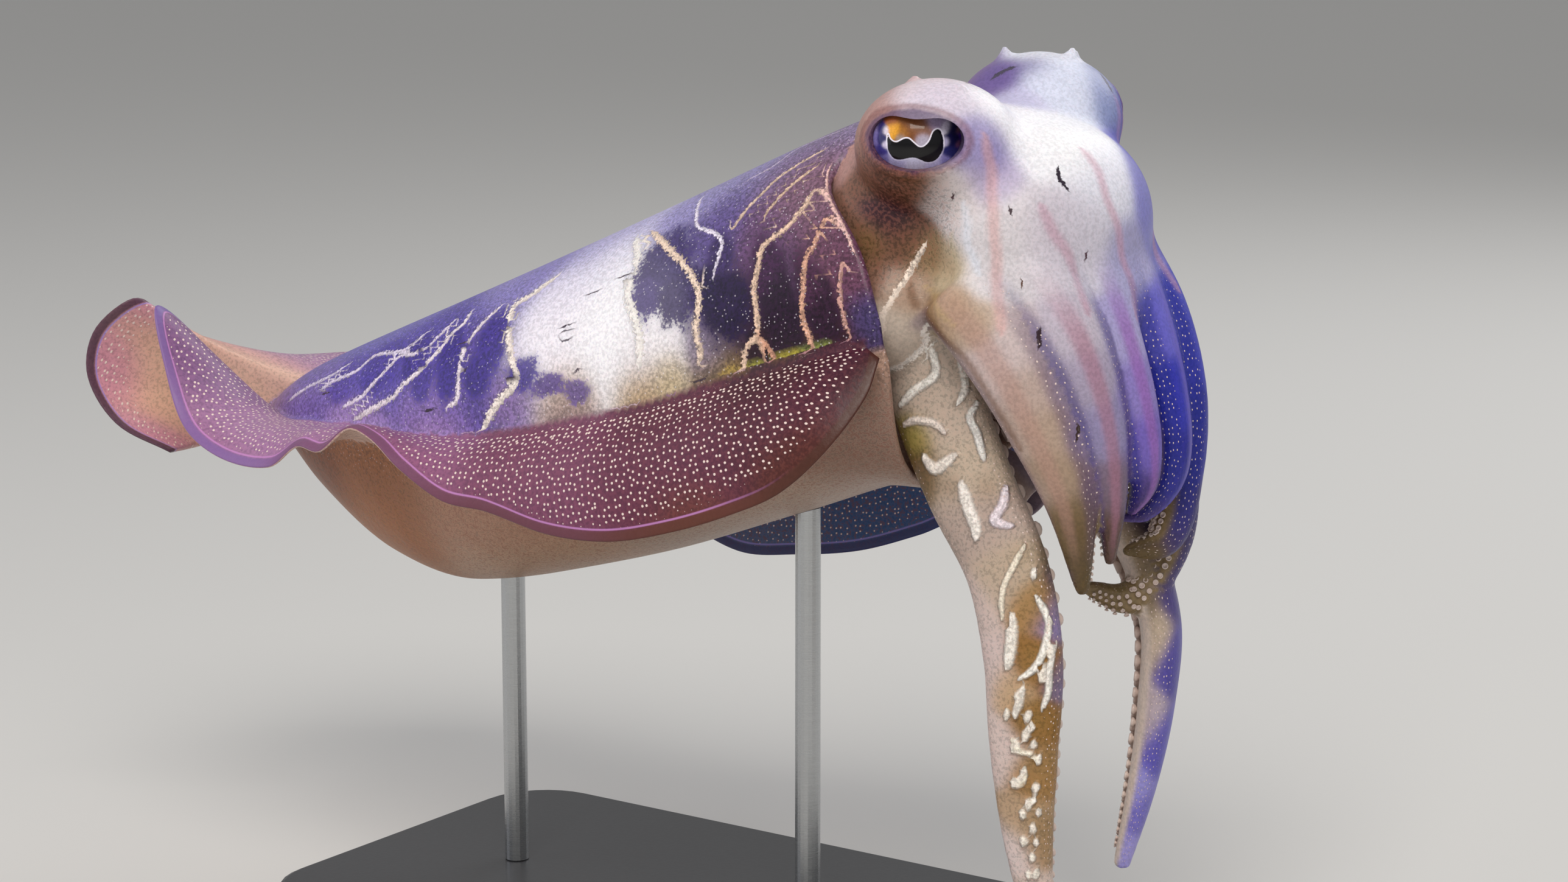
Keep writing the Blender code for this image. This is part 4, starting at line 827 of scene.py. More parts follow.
def lid_form(side, around=72, sides=16):
    """Fold of skin round the opening of an eye"""
    bm = bmesh.new()
    ring = bmesh.ops.create_circle(bm, segments=sides, radius=LID_THICK)["verts"]
    bmesh.ops.rotate(bm, verts=ring, cent=(0, 0, 0), matrix=Matrix.Rotation(math.pi / 2, 3, "X"))
    bmesh.ops.translate(bm, verts=ring, vec=(LID_RING, 0, 0))
    bmesh.ops.spin(bm, geom=bm.verts[:] + bm.edges[:], cent=(0, 0, 0), axis=(0, 0, 1), angle=math.tau,
                   steps=around, use_merge=True)
    for vert in bm.verts:
        turn = math.atan2(vert.co.y, vert.co.x)
        spread = math.hypot(vert.co.x, vert.co.y) - LID_RING + LID_SPREAD
        dip = lid_dip(turn) if turn > 0 else 0.0
        along_eye = (EYE_OPENING[0] + spread) * math.cos(turn)
        up_eye = (EYE_OPENING[1] + spread) * math.sin(turn) + OPENING_RISE - dip
        vert.co = to_world(dome_point(side, along_eye, up_eye, LID_SUNK - vert.co.z))
    return new_object("lid_form", bm)


def opening_form(side, around=64, rows=32):
    """Shape cut from the head over the eyeball, lower in the middle of the upper lid"""
    facing, ahead, up = eye_axes(side)
    centre = eye_centre(side) + facing * OPENING_OUT + up * OPENING_RISE
    points = []
    for row in range(rows + 1):
        polar = math.pi * row / rows
        ring = []
        for turn in turns_round(around):
            x, z = math.cos(turn) * math.sin(polar), math.sin(turn) * math.sin(polar)
            dip = lid_dip(turn) * math.sin(polar) if z > 0 else 0.0
            ring.append(centre + ahead * x * EYE_OPENING[0] + up * (z * EYE_OPENING[1] - dip)
                        + facing * math.cos(polar) * OPENING_DEPTH)
        points.append(np.array(ring))
    return drawn_sphere("opening", points)


def papilla_form(side, x, y, height, around=16):
    """Small soft spike on top of an eye's dome"""
    (cx, cy, cz), (rx, ry, rz) = HEAD_MASSES[1 if side < 0 else 2]
    foot = rolled((cx + x, cy + side * y, cz + rz * math.sqrt(1.0 - (x / rx) ** 2 - (y / ry) ** 2)))
    turns = turns_round(around)
    ring = np.stack([np.cos(turns), np.sin(turns), np.zeros(around)], axis=1)
    height *= NEAR_PAPILLAE if side < 0 else 1.0
    rows = [(-3.0, 0.0), (-3.0, 2.4)]
    rows += [(height * share, reach) for share, reach in ((0.2, 1.9), (0.6, 1.2), (0.9, 0.7), (1.0, 0.0))]
    return drawn_sphere("papilla", [foot + ring * reach + (0, 0, rise) for rise, reach in rows])


def melt(obj, voxel, smooths):
    """Melts overlapping forms into one skin and smooths off the steps"""
    modifier = obj.modifiers.new("Remesh", "REMESH")
    modifier.mode = "VOXEL"
    modifier.voxel_size = voxel * MM
    apply_modifiers(obj)
    smoothed(obj, smooths)


def smoothed(obj, times, group=""):
    """Smooths an object's mesh, where the vertex group says if one is named"""
    modifier = obj.modifiers.new("Smooth", "SMOOTH")
    modifier.iterations = times
    modifier.factor = 0.5
    modifier.vertex_group = group
    apply_modifiers(obj)


def smooth_crown(head):
    """Smooths the hollows between the head's masses and the roots of the arms"""
    places = vertex_places(head)
    weights = step(places[:, 2] + places[:, 0] * 0.4, 62.0, 92.0) * step(places[:, 0], 40.0, 60.0)
    group = head.vertex_groups.new(name="crown")
    for i in np.nonzero(weights > 0.01)[0]:
        group.add([int(i)], float(weights[i]), "REPLACE")
    smoothed(head, CROWN_SMOOTHS, "crown")
    head.vertex_groups.clear()


def head_form():
    """Head, eye domes, lids and arms melted into one, with an opening and a socket for each eye"""
    forms = [ellipsoid("mass", rolled(centre), radii) for centre, radii in HEAD_MASSES]
    forms += [arm_form(name) for name in ARMS]
    head = joined("head_form", forms)
    melt(head, ROUGH_VOXEL, 2)
    smooth_crown(head)
    forms = [lid_form(side) for side in (-1, 1)]
    forms += [papilla_form(side, *spot) for side in (-1, 1) for spot in PAPILLAE]
    head = joined("head_form", [head] + forms)
    melt(head, HEAD_VOXEL, 3)
    for side in (-1, 1):
        boolean(head, [opening_form(side)], "DIFFERENCE")
        boolean(head, [ellipsoid("socket", eye_centre(side), [EYE_RADIUS] * 3)], "DIFFERENCE")
    return head


def funnel_form(around=40):
    """Short tube that points forwards and down, open at its mouth"""
    turns = turns_round(around)
    points = []
    for t, inside in FUNNEL_WALLS:
        x, y, z, radius = along(FUNNEL, t)
        rise = np.cross(heading(FUNNEL, t), (0.0, 1.0, 0.0))
        wall = np.cos(turns)[:, None] * np.array([0.0, 1.0, 0.0])
        ring = wall - rise * FUNNEL_FLATNESS * np.sin(turns)[:, None]
        points.append(np.array([x, y, z]) + radius * inside * ring)
    return drawn_sphere("funnel_form", points)


# One skin


def make_skin():
    """All the flesh united to one closed skin, with each source form's vertices to tell its regions by"""
    mantle = mantle_form()
    sources = [(vertex_places(mantle), np.zeros((len(mantle.data.vertices), 6)))]
    others = []
    for side in (-1, 1):
        fin, places, charts = fin_form(side)
        others.append(fin)
        sources.append((places, charts))
    for form in (head_form(), funnel_form()):
        others.append(form)
        sources.append((vertex_places(form), np.zeros((len(form.data.vertices), 6))))
    boolean(mantle, others, "UNION")
    mantle.name = "skin"
    mantle.data.name = "skin"
    return mantle, sources


def matched(skin, sources):
    """Region and fin chart of every vertex, from the nearest vertex of the source forms"""
    tree = tree_of(np.concatenate([places for places, _ in sources]))
    regions = np.concatenate([np.full(len(places), i) for i, (places, _) in enumerate(sources)])
    charts = np.concatenate([chart for _, chart in sources])
    found = [tree.find(place)[1:] for place in vertex_places(skin)]
    nearest = np.array([index for index, _ in found])
    return regions[nearest], charts[nearest], np.array([distance for _, distance in found])


def soften_joins(skin, distances):
    """Smooths the creases where the forms were united"""
    bm = bmesh.new()
    bm.from_mesh(skin.data)
    bm.verts.ensure_lookup_table()
    near = {bm.verts[i] for i in np.nonzero(distances > 0.01)[0]}
    for _ in range(SMOOTHED_RINGS):
        near |= {edge.other_vert(vert) for vert in near for edge in vert.link_edges}
    for _ in range(JOIN_SMOOTHS):
        bmesh.ops.smooth_vert(bm, verts=list(near), factor=0.5,
                              use_axis_x=True, use_axis_y=True, use_axis_z=True)
    bm.to_mesh(skin.data)
    bm.free()


# Painting the skin


def linear(colour):
    """Linear red, green and blue of an sRGB hex colour"""
    shares = np.array([int(colour[i:i + 2], 16) / 255 for i in (1, 3, 5)])
    return np.where(shares <= 0.04045, shares / 12.92, ((shares + 0.055) / 1.055) ** 2.4)


def blended(tone, colour, cover):
    """Colours with another colour laid over them, as strongly at each place as cover says"""
    cover = cover[:, None]
    return tone * (1 - cover) + cover * colour


def off_centre(places, centre):
    """Squared distance of each place from a centre"""
    return np.sum((places - np.array(centre)) ** 2, axis=1)


def washed(places, washes):
    """Colour at each place, blended softly between the washes near it"""
    total = np.zeros((len(places), 3))
    weights = np.full(len(places), 1e-12)
    for centre, reach, colour in washes:
        weight = np.exp(-off_centre(places, centre) / (reach * reach * 0.8)) + 1e-9
        weights += weight
        total += weight[:, None] * linear(colour)
    return total / weights[:, None]


class Lines:
    """Lines laid on the skin, for the signed distance from the nearest in half widths"""

    def __init__(self):
        """Starts with no lines"""
        self.points, self.headings, self.widths, self.colours, self.heights = [], [], [], [], []

    def add(self, points, half_width, colour, height=1.0):
        """A line through points in millimetres, tapered at both ends; height is how far it stands up"""
        points = np.array(points, dtype=float)
        length = line_length(points)
        count = max(int(length / 0.6), 4)
        shares = np.linspace(0.0, 1.0, count)
        fine = np.array([along(points, share)[:3] for share in shares])
        headings = np.gradient(fine, axis=0)
        headings /= np.linalg.norm(headings, axis=1, keepdims=True) + 1e-9
        taper = np.clip(np.minimum(shares, 1.0 - shares) * length / 4.0, 0.0, 1.0) ** 0.5
        self.points.extend(fine)
        self.headings.extend(headings)
        self.widths.extend(half_width * (0.45 + 0.55 * taper))
        self.colours.extend([linear(colour)] * count)
        self.heights.extend([height] * count)

    def measure(self, places, normals):
        """Signed distance, how far the line shows, its colour and its height at each place"""
        tree = tree_of(self.points)
        nearest = np.array([tree.find(place)[1] for place in places])
        points, headings = np.array(self.points)[nearest], np.array(self.headings)[nearest]
        offsets = places - points
        away = np.linalg.norm(offsets, axis=1)
        side = np.sign(np.sum(np.cross(normals, headings) * offsets, axis=1))
        widths = np.array(self.widths)[nearest]
        past_end = np.abs(np.sum(offsets * headings, axis=1))
        shows = (1.0 - step(away, widths + 0.9, widths + 2.0)) * (1.0 - step(past_end, 0.5, 1.0))
        signed = np.clip(side * away / widths, -NO_LINE, NO_LINE)
        return signed, shows, np.array(self.colours)[nearest], np.array(self.heights)[nearest]


def on_mantle(angle, s, side):
    """Point on the mantle's skin at a station and an angle from the back"""
    return mantle_ring(s, np.array([math.radians(angle) * side]))[0]


def on_arm(name, t, across):
    """Point on the outer face of an arm"""
    here, out, aside, _ = arm_frame(name, t)
    deep = math.sqrt(max(1.0 - across * across, 0.0)) ** ARM_SQUARENESS
    return here[:3] + aside * across * here[3] + out * here[4] * deep


def glazed(tone, places, glazes):
    """Colour with soft spots of other colours laid over it"""
    for centre, reach, colour, strength in glazes:
        cover = strength * np.exp(-off_centre(places, centre) / (reach * reach))
        tone = blended(tone, linear(colour), cover)
    return tone


def lids_tinted(tone, places):
    """Adds the dark red edge of the lids and the purple walls of the openings"""
    for side in (-1, 1):
        facing, ahead, up = eye_axes(side)
        off = places - eye_centre(side)
        out = np.hypot(off @ ahead / EYE_OPENING[0], (off @ up - OPENING_RISE) / EYE_OPENING[1])
        in_front = off @ facing > 4.0
        for cover, colour in ((0.75 * step(-out, -1.03, -0.97), "#4a2c5c"),
                              (0.55 * (1.0 - step(np.abs(out - 1.08), 0.03, 0.12)), "#7a4444")):
            tone = blended(tone, linear(colour), cover * in_front)
    return tone


def add_on_head(lines, marks, head_tree, height):
    """Adds marks of the head, and mirrors those on its right side to its left"""
    for half_width, colour, points in marks:
        lines.add(laid_on(points, head_tree), half_width, colour, height)
        if points[0][1] < MIRRORED_FROM:
            lines.add(laid_on([(x, -y, z) for x, y, z in points], head_tree), half_width, colour, height)


def striped(tone, chart, places, on_an_arm):
    """Adds the stripe down the middle of each arm and the darker lines along its edges"""
    for number, name in enumerate(ARMS):
        if name not in ARM_STRIPES:
            continue
        middle, edges, strength = ARM_STRIPES[name]
        here = (chart[:, 0] == number) * on_an_arm * (chart[:, 4] > -0.3) * strength
        here = here * step(-places[:, 2], *STRIPES_FROM) * (1.0 - step(-places[:, 2], *STRIPES_TO))
        across = np.abs(chart[:, 3])
        for cover, colour in (((1.0 - step(across, 0.14, 0.42)), middle), (step(across, 0.62, 0.9), edges)):
            tone = blended(tone, linear(colour), cover * here)
    return tone


def laid_on(points, tree):
    """Points of a line on the head, each moved to the nearest place on the skin"""
    laid = []
    for share in np.linspace(0.0, 1.0, 2 * len(points) - 1):
        place = np.array(tree.find(along(points, share)[:3])[0])
        if not laid or np.linalg.norm(place - laid[-1]) > 0.8:
            laid.append(place)
    return laid if len(laid) > 1 else [laid[0], laid[0] + (0.0, 0.0, 0.5)]


def skin_lines(head_tree):
    """Crisp marks: pale lines and dark dashes on the mantle, marks on the head, folds on the near arm"""
    lines = Lines()
    for side in (-1, 1):
        for half_width, colour, points in MANTLE_LINES:
            lines.add([on_mantle(angle, s, side) for angle, s in points], half_width * 0.85, colour)
        for angle, s, length in MANTLE_DASHES:
            span = length / MANTLE_LENGTH / 2
            points = [on_mantle(angle, s + share * span, side) for share in (-1, 0, 1)]
            lines.add(points, 0.55, "#3c2c3e", DIPPED)
    add_on_head(lines, HEAD_LINES, head_tree, 0.0)
    for t, across, half_width in ARM_BLOTS:
        reach, fuller = LONG_BLOT if t < LAST_LONG_BLOT else ROUND_BLOT
        spots = [on_arm(NEAR_ARM, t + shift, across + shift * 4) for shift in (-reach, 0.0, reach)]
        lines.add(spots, half_width * fuller, "#f6ece0", RAISED)
    for half_width, colour, points in ARM_RIDGES:
        lines.add([on_arm(NEAR_ARM, t, across) for t, across in points], half_width * 1.15, colour, RAISED)
    return lines


def arm_charts(places):
    """Nearest arm, length along it in millimetres, turn round it and how near its surface, for each place"""
    best = np.full(len(places), 1e9)
    chart = np.zeros((len(places), 5))
    for number, name in enumerate(ARMS):
        length = line_length(np.array(ARMS[name])[:, :3])
        for t in np.linspace(0.0, 1.0, 81):
            here, out, aside, ahead = arm_frame(name, t)
            off = places - here[:3]
            down = off @ ahead
            across, deep = off @ aside / here[3], off @ out / here[4]
            reach = np.hypot(np.hypot(across, deep) - 1.0, down / 4.0) + 0.02 * np.hypot(across, deep)
            nearer = reach < best
            best = np.where(nearer, reach, best)
            row = np.stack([np.full(len(places), float(number)), t * length + down, np.arctan2(deep, across),
                            across, deep], axis=1)
            chart[nearer] = row[nearer]
    return chart, best


def paint_mantle(paint, part_of, places):
    """Paints the mantle: washes, dark patches, specks on the back and speckle on the belly"""
    s, angle = mantle_chart(places[part_of])
    # the fin line parts the colours of the back from those of the belly
    flat = np.stack([s * MANTLE_LENGTH, np.abs(angle) * ROUND_MANTLE], axis=1)
    apart = flat + np.stack([np.zeros(len(s)), BELLY_APART * step(np.abs(angle), *FIN_LINE)], axis=1)
    washes = [((at * MANTLE_LENGTH, turn * ROUND_MANTLE + (BELLY_APART if turn > 90 else 0.0)), reach, colour)
              for at, turn, reach, colour in MANTLE_WASHES]
    tone = washed(apart, washes)
    ink = np.full(len(s), UNPAINTED["ink"])
    ink_tone = np.zeros((len(s), 3))
    for at, turn, half_length, half_height, colour in MANTLE_PATCHES:
        off = (flat - np.array((at * MANTLE_LENGTH, turn * ROUND_MANTLE))) / (half_length, half_height)
        inside = 1.0 - np.linalg.norm(off, axis=1)
        ink_tone = np.where((inside > ink)[:, None], linear(colour), ink_tone)
        ink = np.maximum(ink, inside)
    belly = step(np.abs(angle), *BELLY_LINE)
    paint["tone"][part_of] = tone
    paint["ink"][part_of] = ink
    paint["ink_tone"][part_of] = ink_tone
    paint["grain"][part_of] = belly
    paint["specks"][part_of] = 1.0 - belly
    paint["granular"][part_of] = 1.05 - 0.75 * tone.mean(axis=1)


def fin_washed(t, v, washes):
    """Colour at t and v of a fin's face"""
    length, width = FIN_CHART
    laid_out = [((at * length, out * width), reach, colour) for at, out, reach, colour in washes]
    return washed(np.stack([t, v], axis=1) * FIN_CHART, laid_out)


def paint_fin(paint, part_of, charts, side):
    """Paints a fin: washes on both faces, white dots, and the band and the thread along its margin"""
    t, v, face, to_margin, down, from_root = charts[part_of].T
    is_under = face > 0
    near_under = is_under & (side < 0)
    upper = fin_washed(t, v, FIN_WASHES if side < 0 else FAR_FIN_WASHES)
    paint["tone"][part_of] = np.where(is_under[:, None], fin_washed(t, v, UNDER_WASHES[side]), upper)
    paint["ink_tone"][part_of] = washed(np.stack([t, t * 0], axis=1) * FIN_CHART[0], RIM_WASHES[side])
    paint["mark"][part_of] = linear(NEAR_FIN_THREAD if side < 0 else FAR_FIN_THREAD)
    paint["rim"][part_of] = to_margin + np.where(near_under, 40.0, 0.0)
    paint["threaded"][part_of] = 1.0 - np.where(near_under, 1.0, 1.0 - step(t, *THREAD_STARTS))
    # the dots stand further in from the margin at the front
    front = 1.0 - step(t, 0.08, 0.30)
    shown = step(to_margin, 3.8 + 1.5 * front, 5.0 + 3.0 * front) * step(from_root, 1.0, 2.0)
    shown *= 1.0 + 0.35 * (1.0 - step(from_root, 5.0, 9.0))
    shown *= np.where(is_under, 0.0 if side < 0 else 0.75, 1.0)
    if side > 0:
        # the loop at the tail is bare but for its margin
        bare = 0.9 * step(t, 0.76, 0.82) * step(to_margin, 11.0, 15.0)
        shown *= np.where(is_under, 1.0, 1.0 - bare)
    paint["dots"][part_of] = shown
    paint["grain"][part_of] = np.where(is_under, 1.0, 0.25)
    paint["chart"][part_of] = np.stack([down, from_root, np.full(len(t), 0.0)], axis=1)


def paint_head(paint, part_of, places, normals, head_tree):
    """Paints the head, arms and funnel: washes, stripes, lids, rows of dots and the arms' inner faces"""
    places = places[part_of]
    tone = glazed(washed(places, HEAD_WASHES), places, HEAD_GLAZES)
    stripes = Lines()
    add_on_head(stripes, HEAD_STRIPES, head_tree, 1.0)
    signed, shows, stripe, _ = stripes.measure(places, normals[part_of])
    tone = blended(tone, stripe, STRIPE_STRENGTH * (1.0 - step(np.abs(signed), 0.3, 1.25)) * shows)
    chart, reach = arm_charts(places)
    arm, down, turn, across, deep = chart.T
    on_an_arm = 1.0 - step(reach, 0.25, 0.6)
    low = step(-places[:, 2], *LOW_ON_ARMS)
    tone = striped(lids_tinted(tone, places), chart, places, on_an_arm)
    fourth = np.isin(arm, [list(ARMS).index(name) for name in (NEAR_ARM, "arm_4_left")])
    pale = np.where(fourth[:, None], linear(INNER_FOURTH), linear(INNER_OTHERS))
    paint["tone"][part_of] = blended(tone, pale, step(-deep, 0.15, 0.6) * on_an_arm * low)
    edge = step(np.abs(across), 0.6, 0.85) * step(deep, -0.75, -0.1)
    paint["dots"][part_of] = on_an_arm * edge * low * 0.66
    laid_out = turn * AROUND_ARM + arm * ARM_APART
    paint["chart"][part_of] = np.stack([down, laid_out, np.zeros(len(places))], axis=1)
    brown = 1.0 - step(np.linalg.norm(places - np.array(BROWN_PATCH), axis=1), *BROWN_REACH)
    near_arm = (arm == list(ARMS).index(NEAR_ARM)) * on_an_arm
    paint["grain"][part_of] = 0.05 + 0.85 * brown + 0.3 * near_arm
    paint["granular"][part_of] = 0.28 + 0.8 * brown + 0.4 * near_arm


def paint_skin(skin, regions, charts):
    """Raises the folds and writes what the skin's material reads to attributes of its vertices"""
    places = vertex_places(skin)
    normals = np.zeros(len(places) * 3)
    skin.data.vertices.foreach_get("normal", normals)
    normals = normals.reshape(-1, 3)
    paint = {name: np.full(len(places), value) for name, value in UNPAINTED.items()}
    paint |= {name: np.zeros((len(places), 3)) for name in ("tone", "ink_tone", "mark", "chart")}
    paint_mantle(paint, regions == REGIONS.index("mantle"), places)
    for side, name in ((-1, "fin_right"), (1, "fin_left")):
        paint_fin(paint, regions == REGIONS.index(name), charts, side)
    on_head = np.isin(regions, [REGIONS.index("head"), REGIONS.index("funnel")])
    head_tree = tree_of(places[on_head])
    paint_head(paint, on_head, places, normals, head_tree)
    signed, shows, mark, height = skin_lines(head_tree).measure(places, normals)
    signed = np.where(height > 1.0, np.abs(signed), signed)
    raised = FOLD_RISE * (height > 1.0) * shows * (1.0 - step(np.abs(signed), 0.3, 1.3))
    folded = (places + normals * raised[:, None] + SHIFT) * MM
    skin.data.vertices.foreach_set("co", folded.ravel())
    skin.data.update()
    # a fin has no lines, so its thread's colour and strength are stored in their place
    on_fin = np.isin(regions, [REGIONS.index("fin_right"), REGIONS.index("fin_left")])
    paint["mark"] = np.where(on_fin[:, None], paint["mark"], mark)
    paint["line_shows"] = np.where(on_fin, paint.pop("threaded"), shows)
    paint["line"] = np.where(on_fin, NO_LINE, signed)
    paint["line_height"] = height
    for name, values in paint.items():
        write(skin, name, values)


def write(obj, name, values):
    """Stores a number, or a colour or place of three numbers, for every vertex"""
    kind = "FLOAT" if values.ndim == 1 else "FLOAT_VECTOR"
    attribute = obj.data.attributes.new(name, kind, "POINT")
    attribute.data.foreach_set("value" if kind == "FLOAT" else "vector", values.astype(np.float32).ravel())


# Suckers and eyes

SUCKER_STARTS = {"1": 0.20, "2": 0.20, "3": 0.22, "4": 0.15}
SUCKER_END = 0.975
# places across the inner face of an arm, as shares of its half width; the far fourth arm is turned
SUCKER_COLUMNS = [-0.72, -0.26, 0.26, 0.72]
FAR_SUCKER_COLUMNS = [-0.85, -0.55, -0.25, 0.05]
# radius as a share of the arm's half width there, and least radius
SUCKER_SHARE = 0.17
SUCKER_LEAST = 0.5
# height over the skin and radius, as shares of the sucker's radius, from its foot to the floor of its cup
SUCKER_PROFILE = [
    (-0.7, 0.55), (0.1, 0.55), (0.45, 0.98), (0.75, 1.0), (0.95, 0.86), (0.9, 0.66), (0.55, 0.5), (0.42, 0.0),
]
EYE_AROUND = 128
EYE_ROWS = 96
# how the eyeball's rows crowd towards the pupil
EYE_CROWDING = 1.5
# outline of the pupil in millimetres, ahead and up from its middle
PUPIL = [
    (-6.9, 3.0), (-6.4, 2.1), (-5.4, 1.35), (-4.3, 1.4), (-2.8, 2.2), (-1.5, 2.3), (-0.2, 1.3),
    (1.1, 0.35), (2.4, 0.5), (3.7, 1.9), (4.5, 3.9), (5.4, 4.5), (6.2, 4.1), (6.8, 2.4), (6.95, 0.4),
    (6.5, -1.3), (5.4, -2.8), (4.1, -3.45), (2.8, -3.45), (1.5, -2.9), (0.2, -2.4), (-1.1, -2.4),
    (-2.4, -2.7), (-3.7, -3.0), (-5.2, -2.8), (-6.3, -1.7), (-6.9, 0.0),
]
IRIS_WASHES = [
    ((0.0, -5.5), 2.2, "#cdcbea"), ((4.5, -5.0), 1.8, "#b9b6e0"), ((-4.5, -5.0), 1.8, "#aeaad6"),
    ((-1.0, 5.6), 2.6, "#7c4a26"), ((-3.0, 4.0), 1.2, "#a9702c"), ((2.0, 5.0), 1.8, "#8a5c44"),
    ((-5.2, 4.6), 1.2, "#eaa632"), ((-5.8, 6.6), 1.2, "#8e4a26"), ((2.0, 2.4), 1.2, "#b7afc4"),
    ((-3.4, 2.6), 0.8, "#9c8c84"), ((4.6, 6.6), 1.6, "#b3a3c4"), ((-7.6, 0.5), 0.6, "#d8cdea"),
    ((-7.6, 4.0), 0.6, "#e6daea"), ((-8.8, 4.4), 0.9, "#2b2768"), ((-8.8, 1.6), 0.9, "#232060"),
    ((-8.8, -1.2), 0.9, "#3a3584"), ((-8.2, -3.6), 1.0, "#7c76b8"), ((-11.4, 5.0), 1.3, "#a99ad6"),
    ((-11.4, 1.5), 1.3, "#8f84cc"), ((-11.2, -2.0), 1.3, "#6f5fae"), ((7.7, 1.4), 0.6, "#c6bfe2"),
    ((7.6, 5.0), 0.8, "#e9e4f4"), ((9.1, 4.8), 1.0, "#18184e"), ((9.1, 1.6), 1.0, "#14154c"),
    ((9.0, -1.4), 1.0, "#22256a"), ((7.6, -3.8), 1.0, "#8c86c8"), ((10.7, 4.0), 0.6, "#8a5a64"),
    ((10.7, 0.5), 0.6, "#7a4c6a"), ((12.2, 3.4), 1.1, "#6a34c4"), ((12.2, 0.4), 1.1, "#5a2cb8"),
    ((11.4, -2.4), 1.0, "#7a66c0"), ((0.0, 9.0), 2.0, "#6a3c28"), ((0.0, -8.5), 2.0, "#6c5070"),
]


def spun(profile, around):
    """Mesh turned from a profile of height and radius, whose last point is on the axis"""
    bm = bmesh.new()
    points = [bm.verts.new((radius, 0.0, height)) for height, radius in profile]
    edges = [bm.edges.new(pair) for pair in zip(points, points[1:])]
    bmesh.ops.spin(bm, geom=points + edges, cent=(0, 0, 0), axis=(0, 0, 1), angle=math.tau, steps=around,
                   use_merge=True)
    bmesh.ops.remove_doubles(bm, verts=bm.verts, dist=1e-4)
    bmesh.ops.holes_fill(bm, edges=[edge for edge in bm.edges if edge.is_boundary])
    bmesh.ops.recalc_face_normals(bm, faces=bm.faces)
    mesh = bpy.data.meshes.new("spun")
    bm.to_mesh(mesh)
    bm.free()
    return mesh


def scattered(name, mesh, spots):
    """Copies of a mesh at spots, each with its foot, facing, width and height in millimetres"""
    bm = bmesh.new()
    for foot, facing, width, height in spots:
        known = len(bm.verts)
        bm.from_mesh(mesh)
        bm.verts.ensure_lookup_table()
        turn = Vector(facing).to_track_quat("Z", "Y").to_matrix().to_4x4()
        size = Matrix.Diagonal((width * MM, width * MM, height * MM, 1))
        place = Matrix.Translation(to_world(foot)) @ turn @ size
        bmesh.ops.transform(bm, matrix=place, verts=bm.verts[known:])
    return new_object(name, bm, recalculate=False)


def sucker_spots():
    """Four rows of suckers down the inner face of each arm, smaller towards its tip"""
    spots = []
    for name in ARMS:
        rng = random.Random(name)
        length = line_length(np.array(ARMS[name])[:, :3])
        t = SUCKER_STARTS[name[4]]
        row = 0
        while t < SUCKER_END:
            half_width = arm_frame(name, t)[0][3]
            radius = max(half_width * SUCKER_SHARE, SUCKER_LEAST)
            step_on = (radius * 2.5 + 0.25) / length
            for column in (FAR_SUCKER_COLUMNS if name == "arm_4_left" else SUCKER_COLUMNS)[row % 2::2]:
                spot = min(t + rng.uniform(-0.12, 0.12) * step_on, SUCKER_END)
                here, out, aside, _ = arm_frame(name, spot)
                turn = math.asin(column * 0.9) + rng.uniform(-0.04, 0.04)
                foot = (here[:3] + aside * power(math.sin(turn), ARM_SQUARENESS) * here[3]
                        - out * power(math.cos(turn), ARM_SQUARENESS) * here[4])
                facing = unit(aside * math.sin(turn) / here[3] - out * math.cos(turn) / here[4])
                size = radius * rng.uniform(0.9, 1.08)
                spots.append((foot, facing, size, size))
            t += step_on * 0.52
            row += 1
    return spots


def make_suckers():
    """All the suckers as one piece"""
    return scattered("suckers", spun(SUCKER_PROFILE, 12), sucker_spots())


def closed_curve(points, steps=240):
    """Smooth closed curve through flat points"""
    points = np.array(points, dtype=float)
    count = len(points)
    curve = []
    for k in range(steps):
        x = k / steps * count
        i, u = int(x), x - int(x)
        a, b, c, d = [points[(i + shift) % count] for shift in (-1, 0, 1, 2)]
        curve.append(0.5 * (2 * b + (c - a) * u + (2 * a - 5 * b + 4 * c - d) * u * u
                            + (3 * b - a - 3 * c + d) * u ** 3))
    return np.array(curve)


def inside_distance(flat, curve):
    """Distance from a closed flat curve, above 0 inside it"""
    distance = np.min(np.linalg.norm(flat[:, None, :] - curve[None, :, :], axis=2), axis=1)
    after = np.roll(curve, -1, axis=0)
    x, y = flat[:, :1], flat[:, 1:]
    crosses = (curve[:, 1] > y) != (after[:, 1] > y)
    at = curve[:, 0] + (y - curve[:, 1]) * (after[:, 0] - curve[:, 0]) / (after[:, 1] - curve[:, 1] + 1e-12)
    inside = np.sum(crosses & (x < at), axis=1) % 2 == 1
    return np.where(inside, distance, -distance)


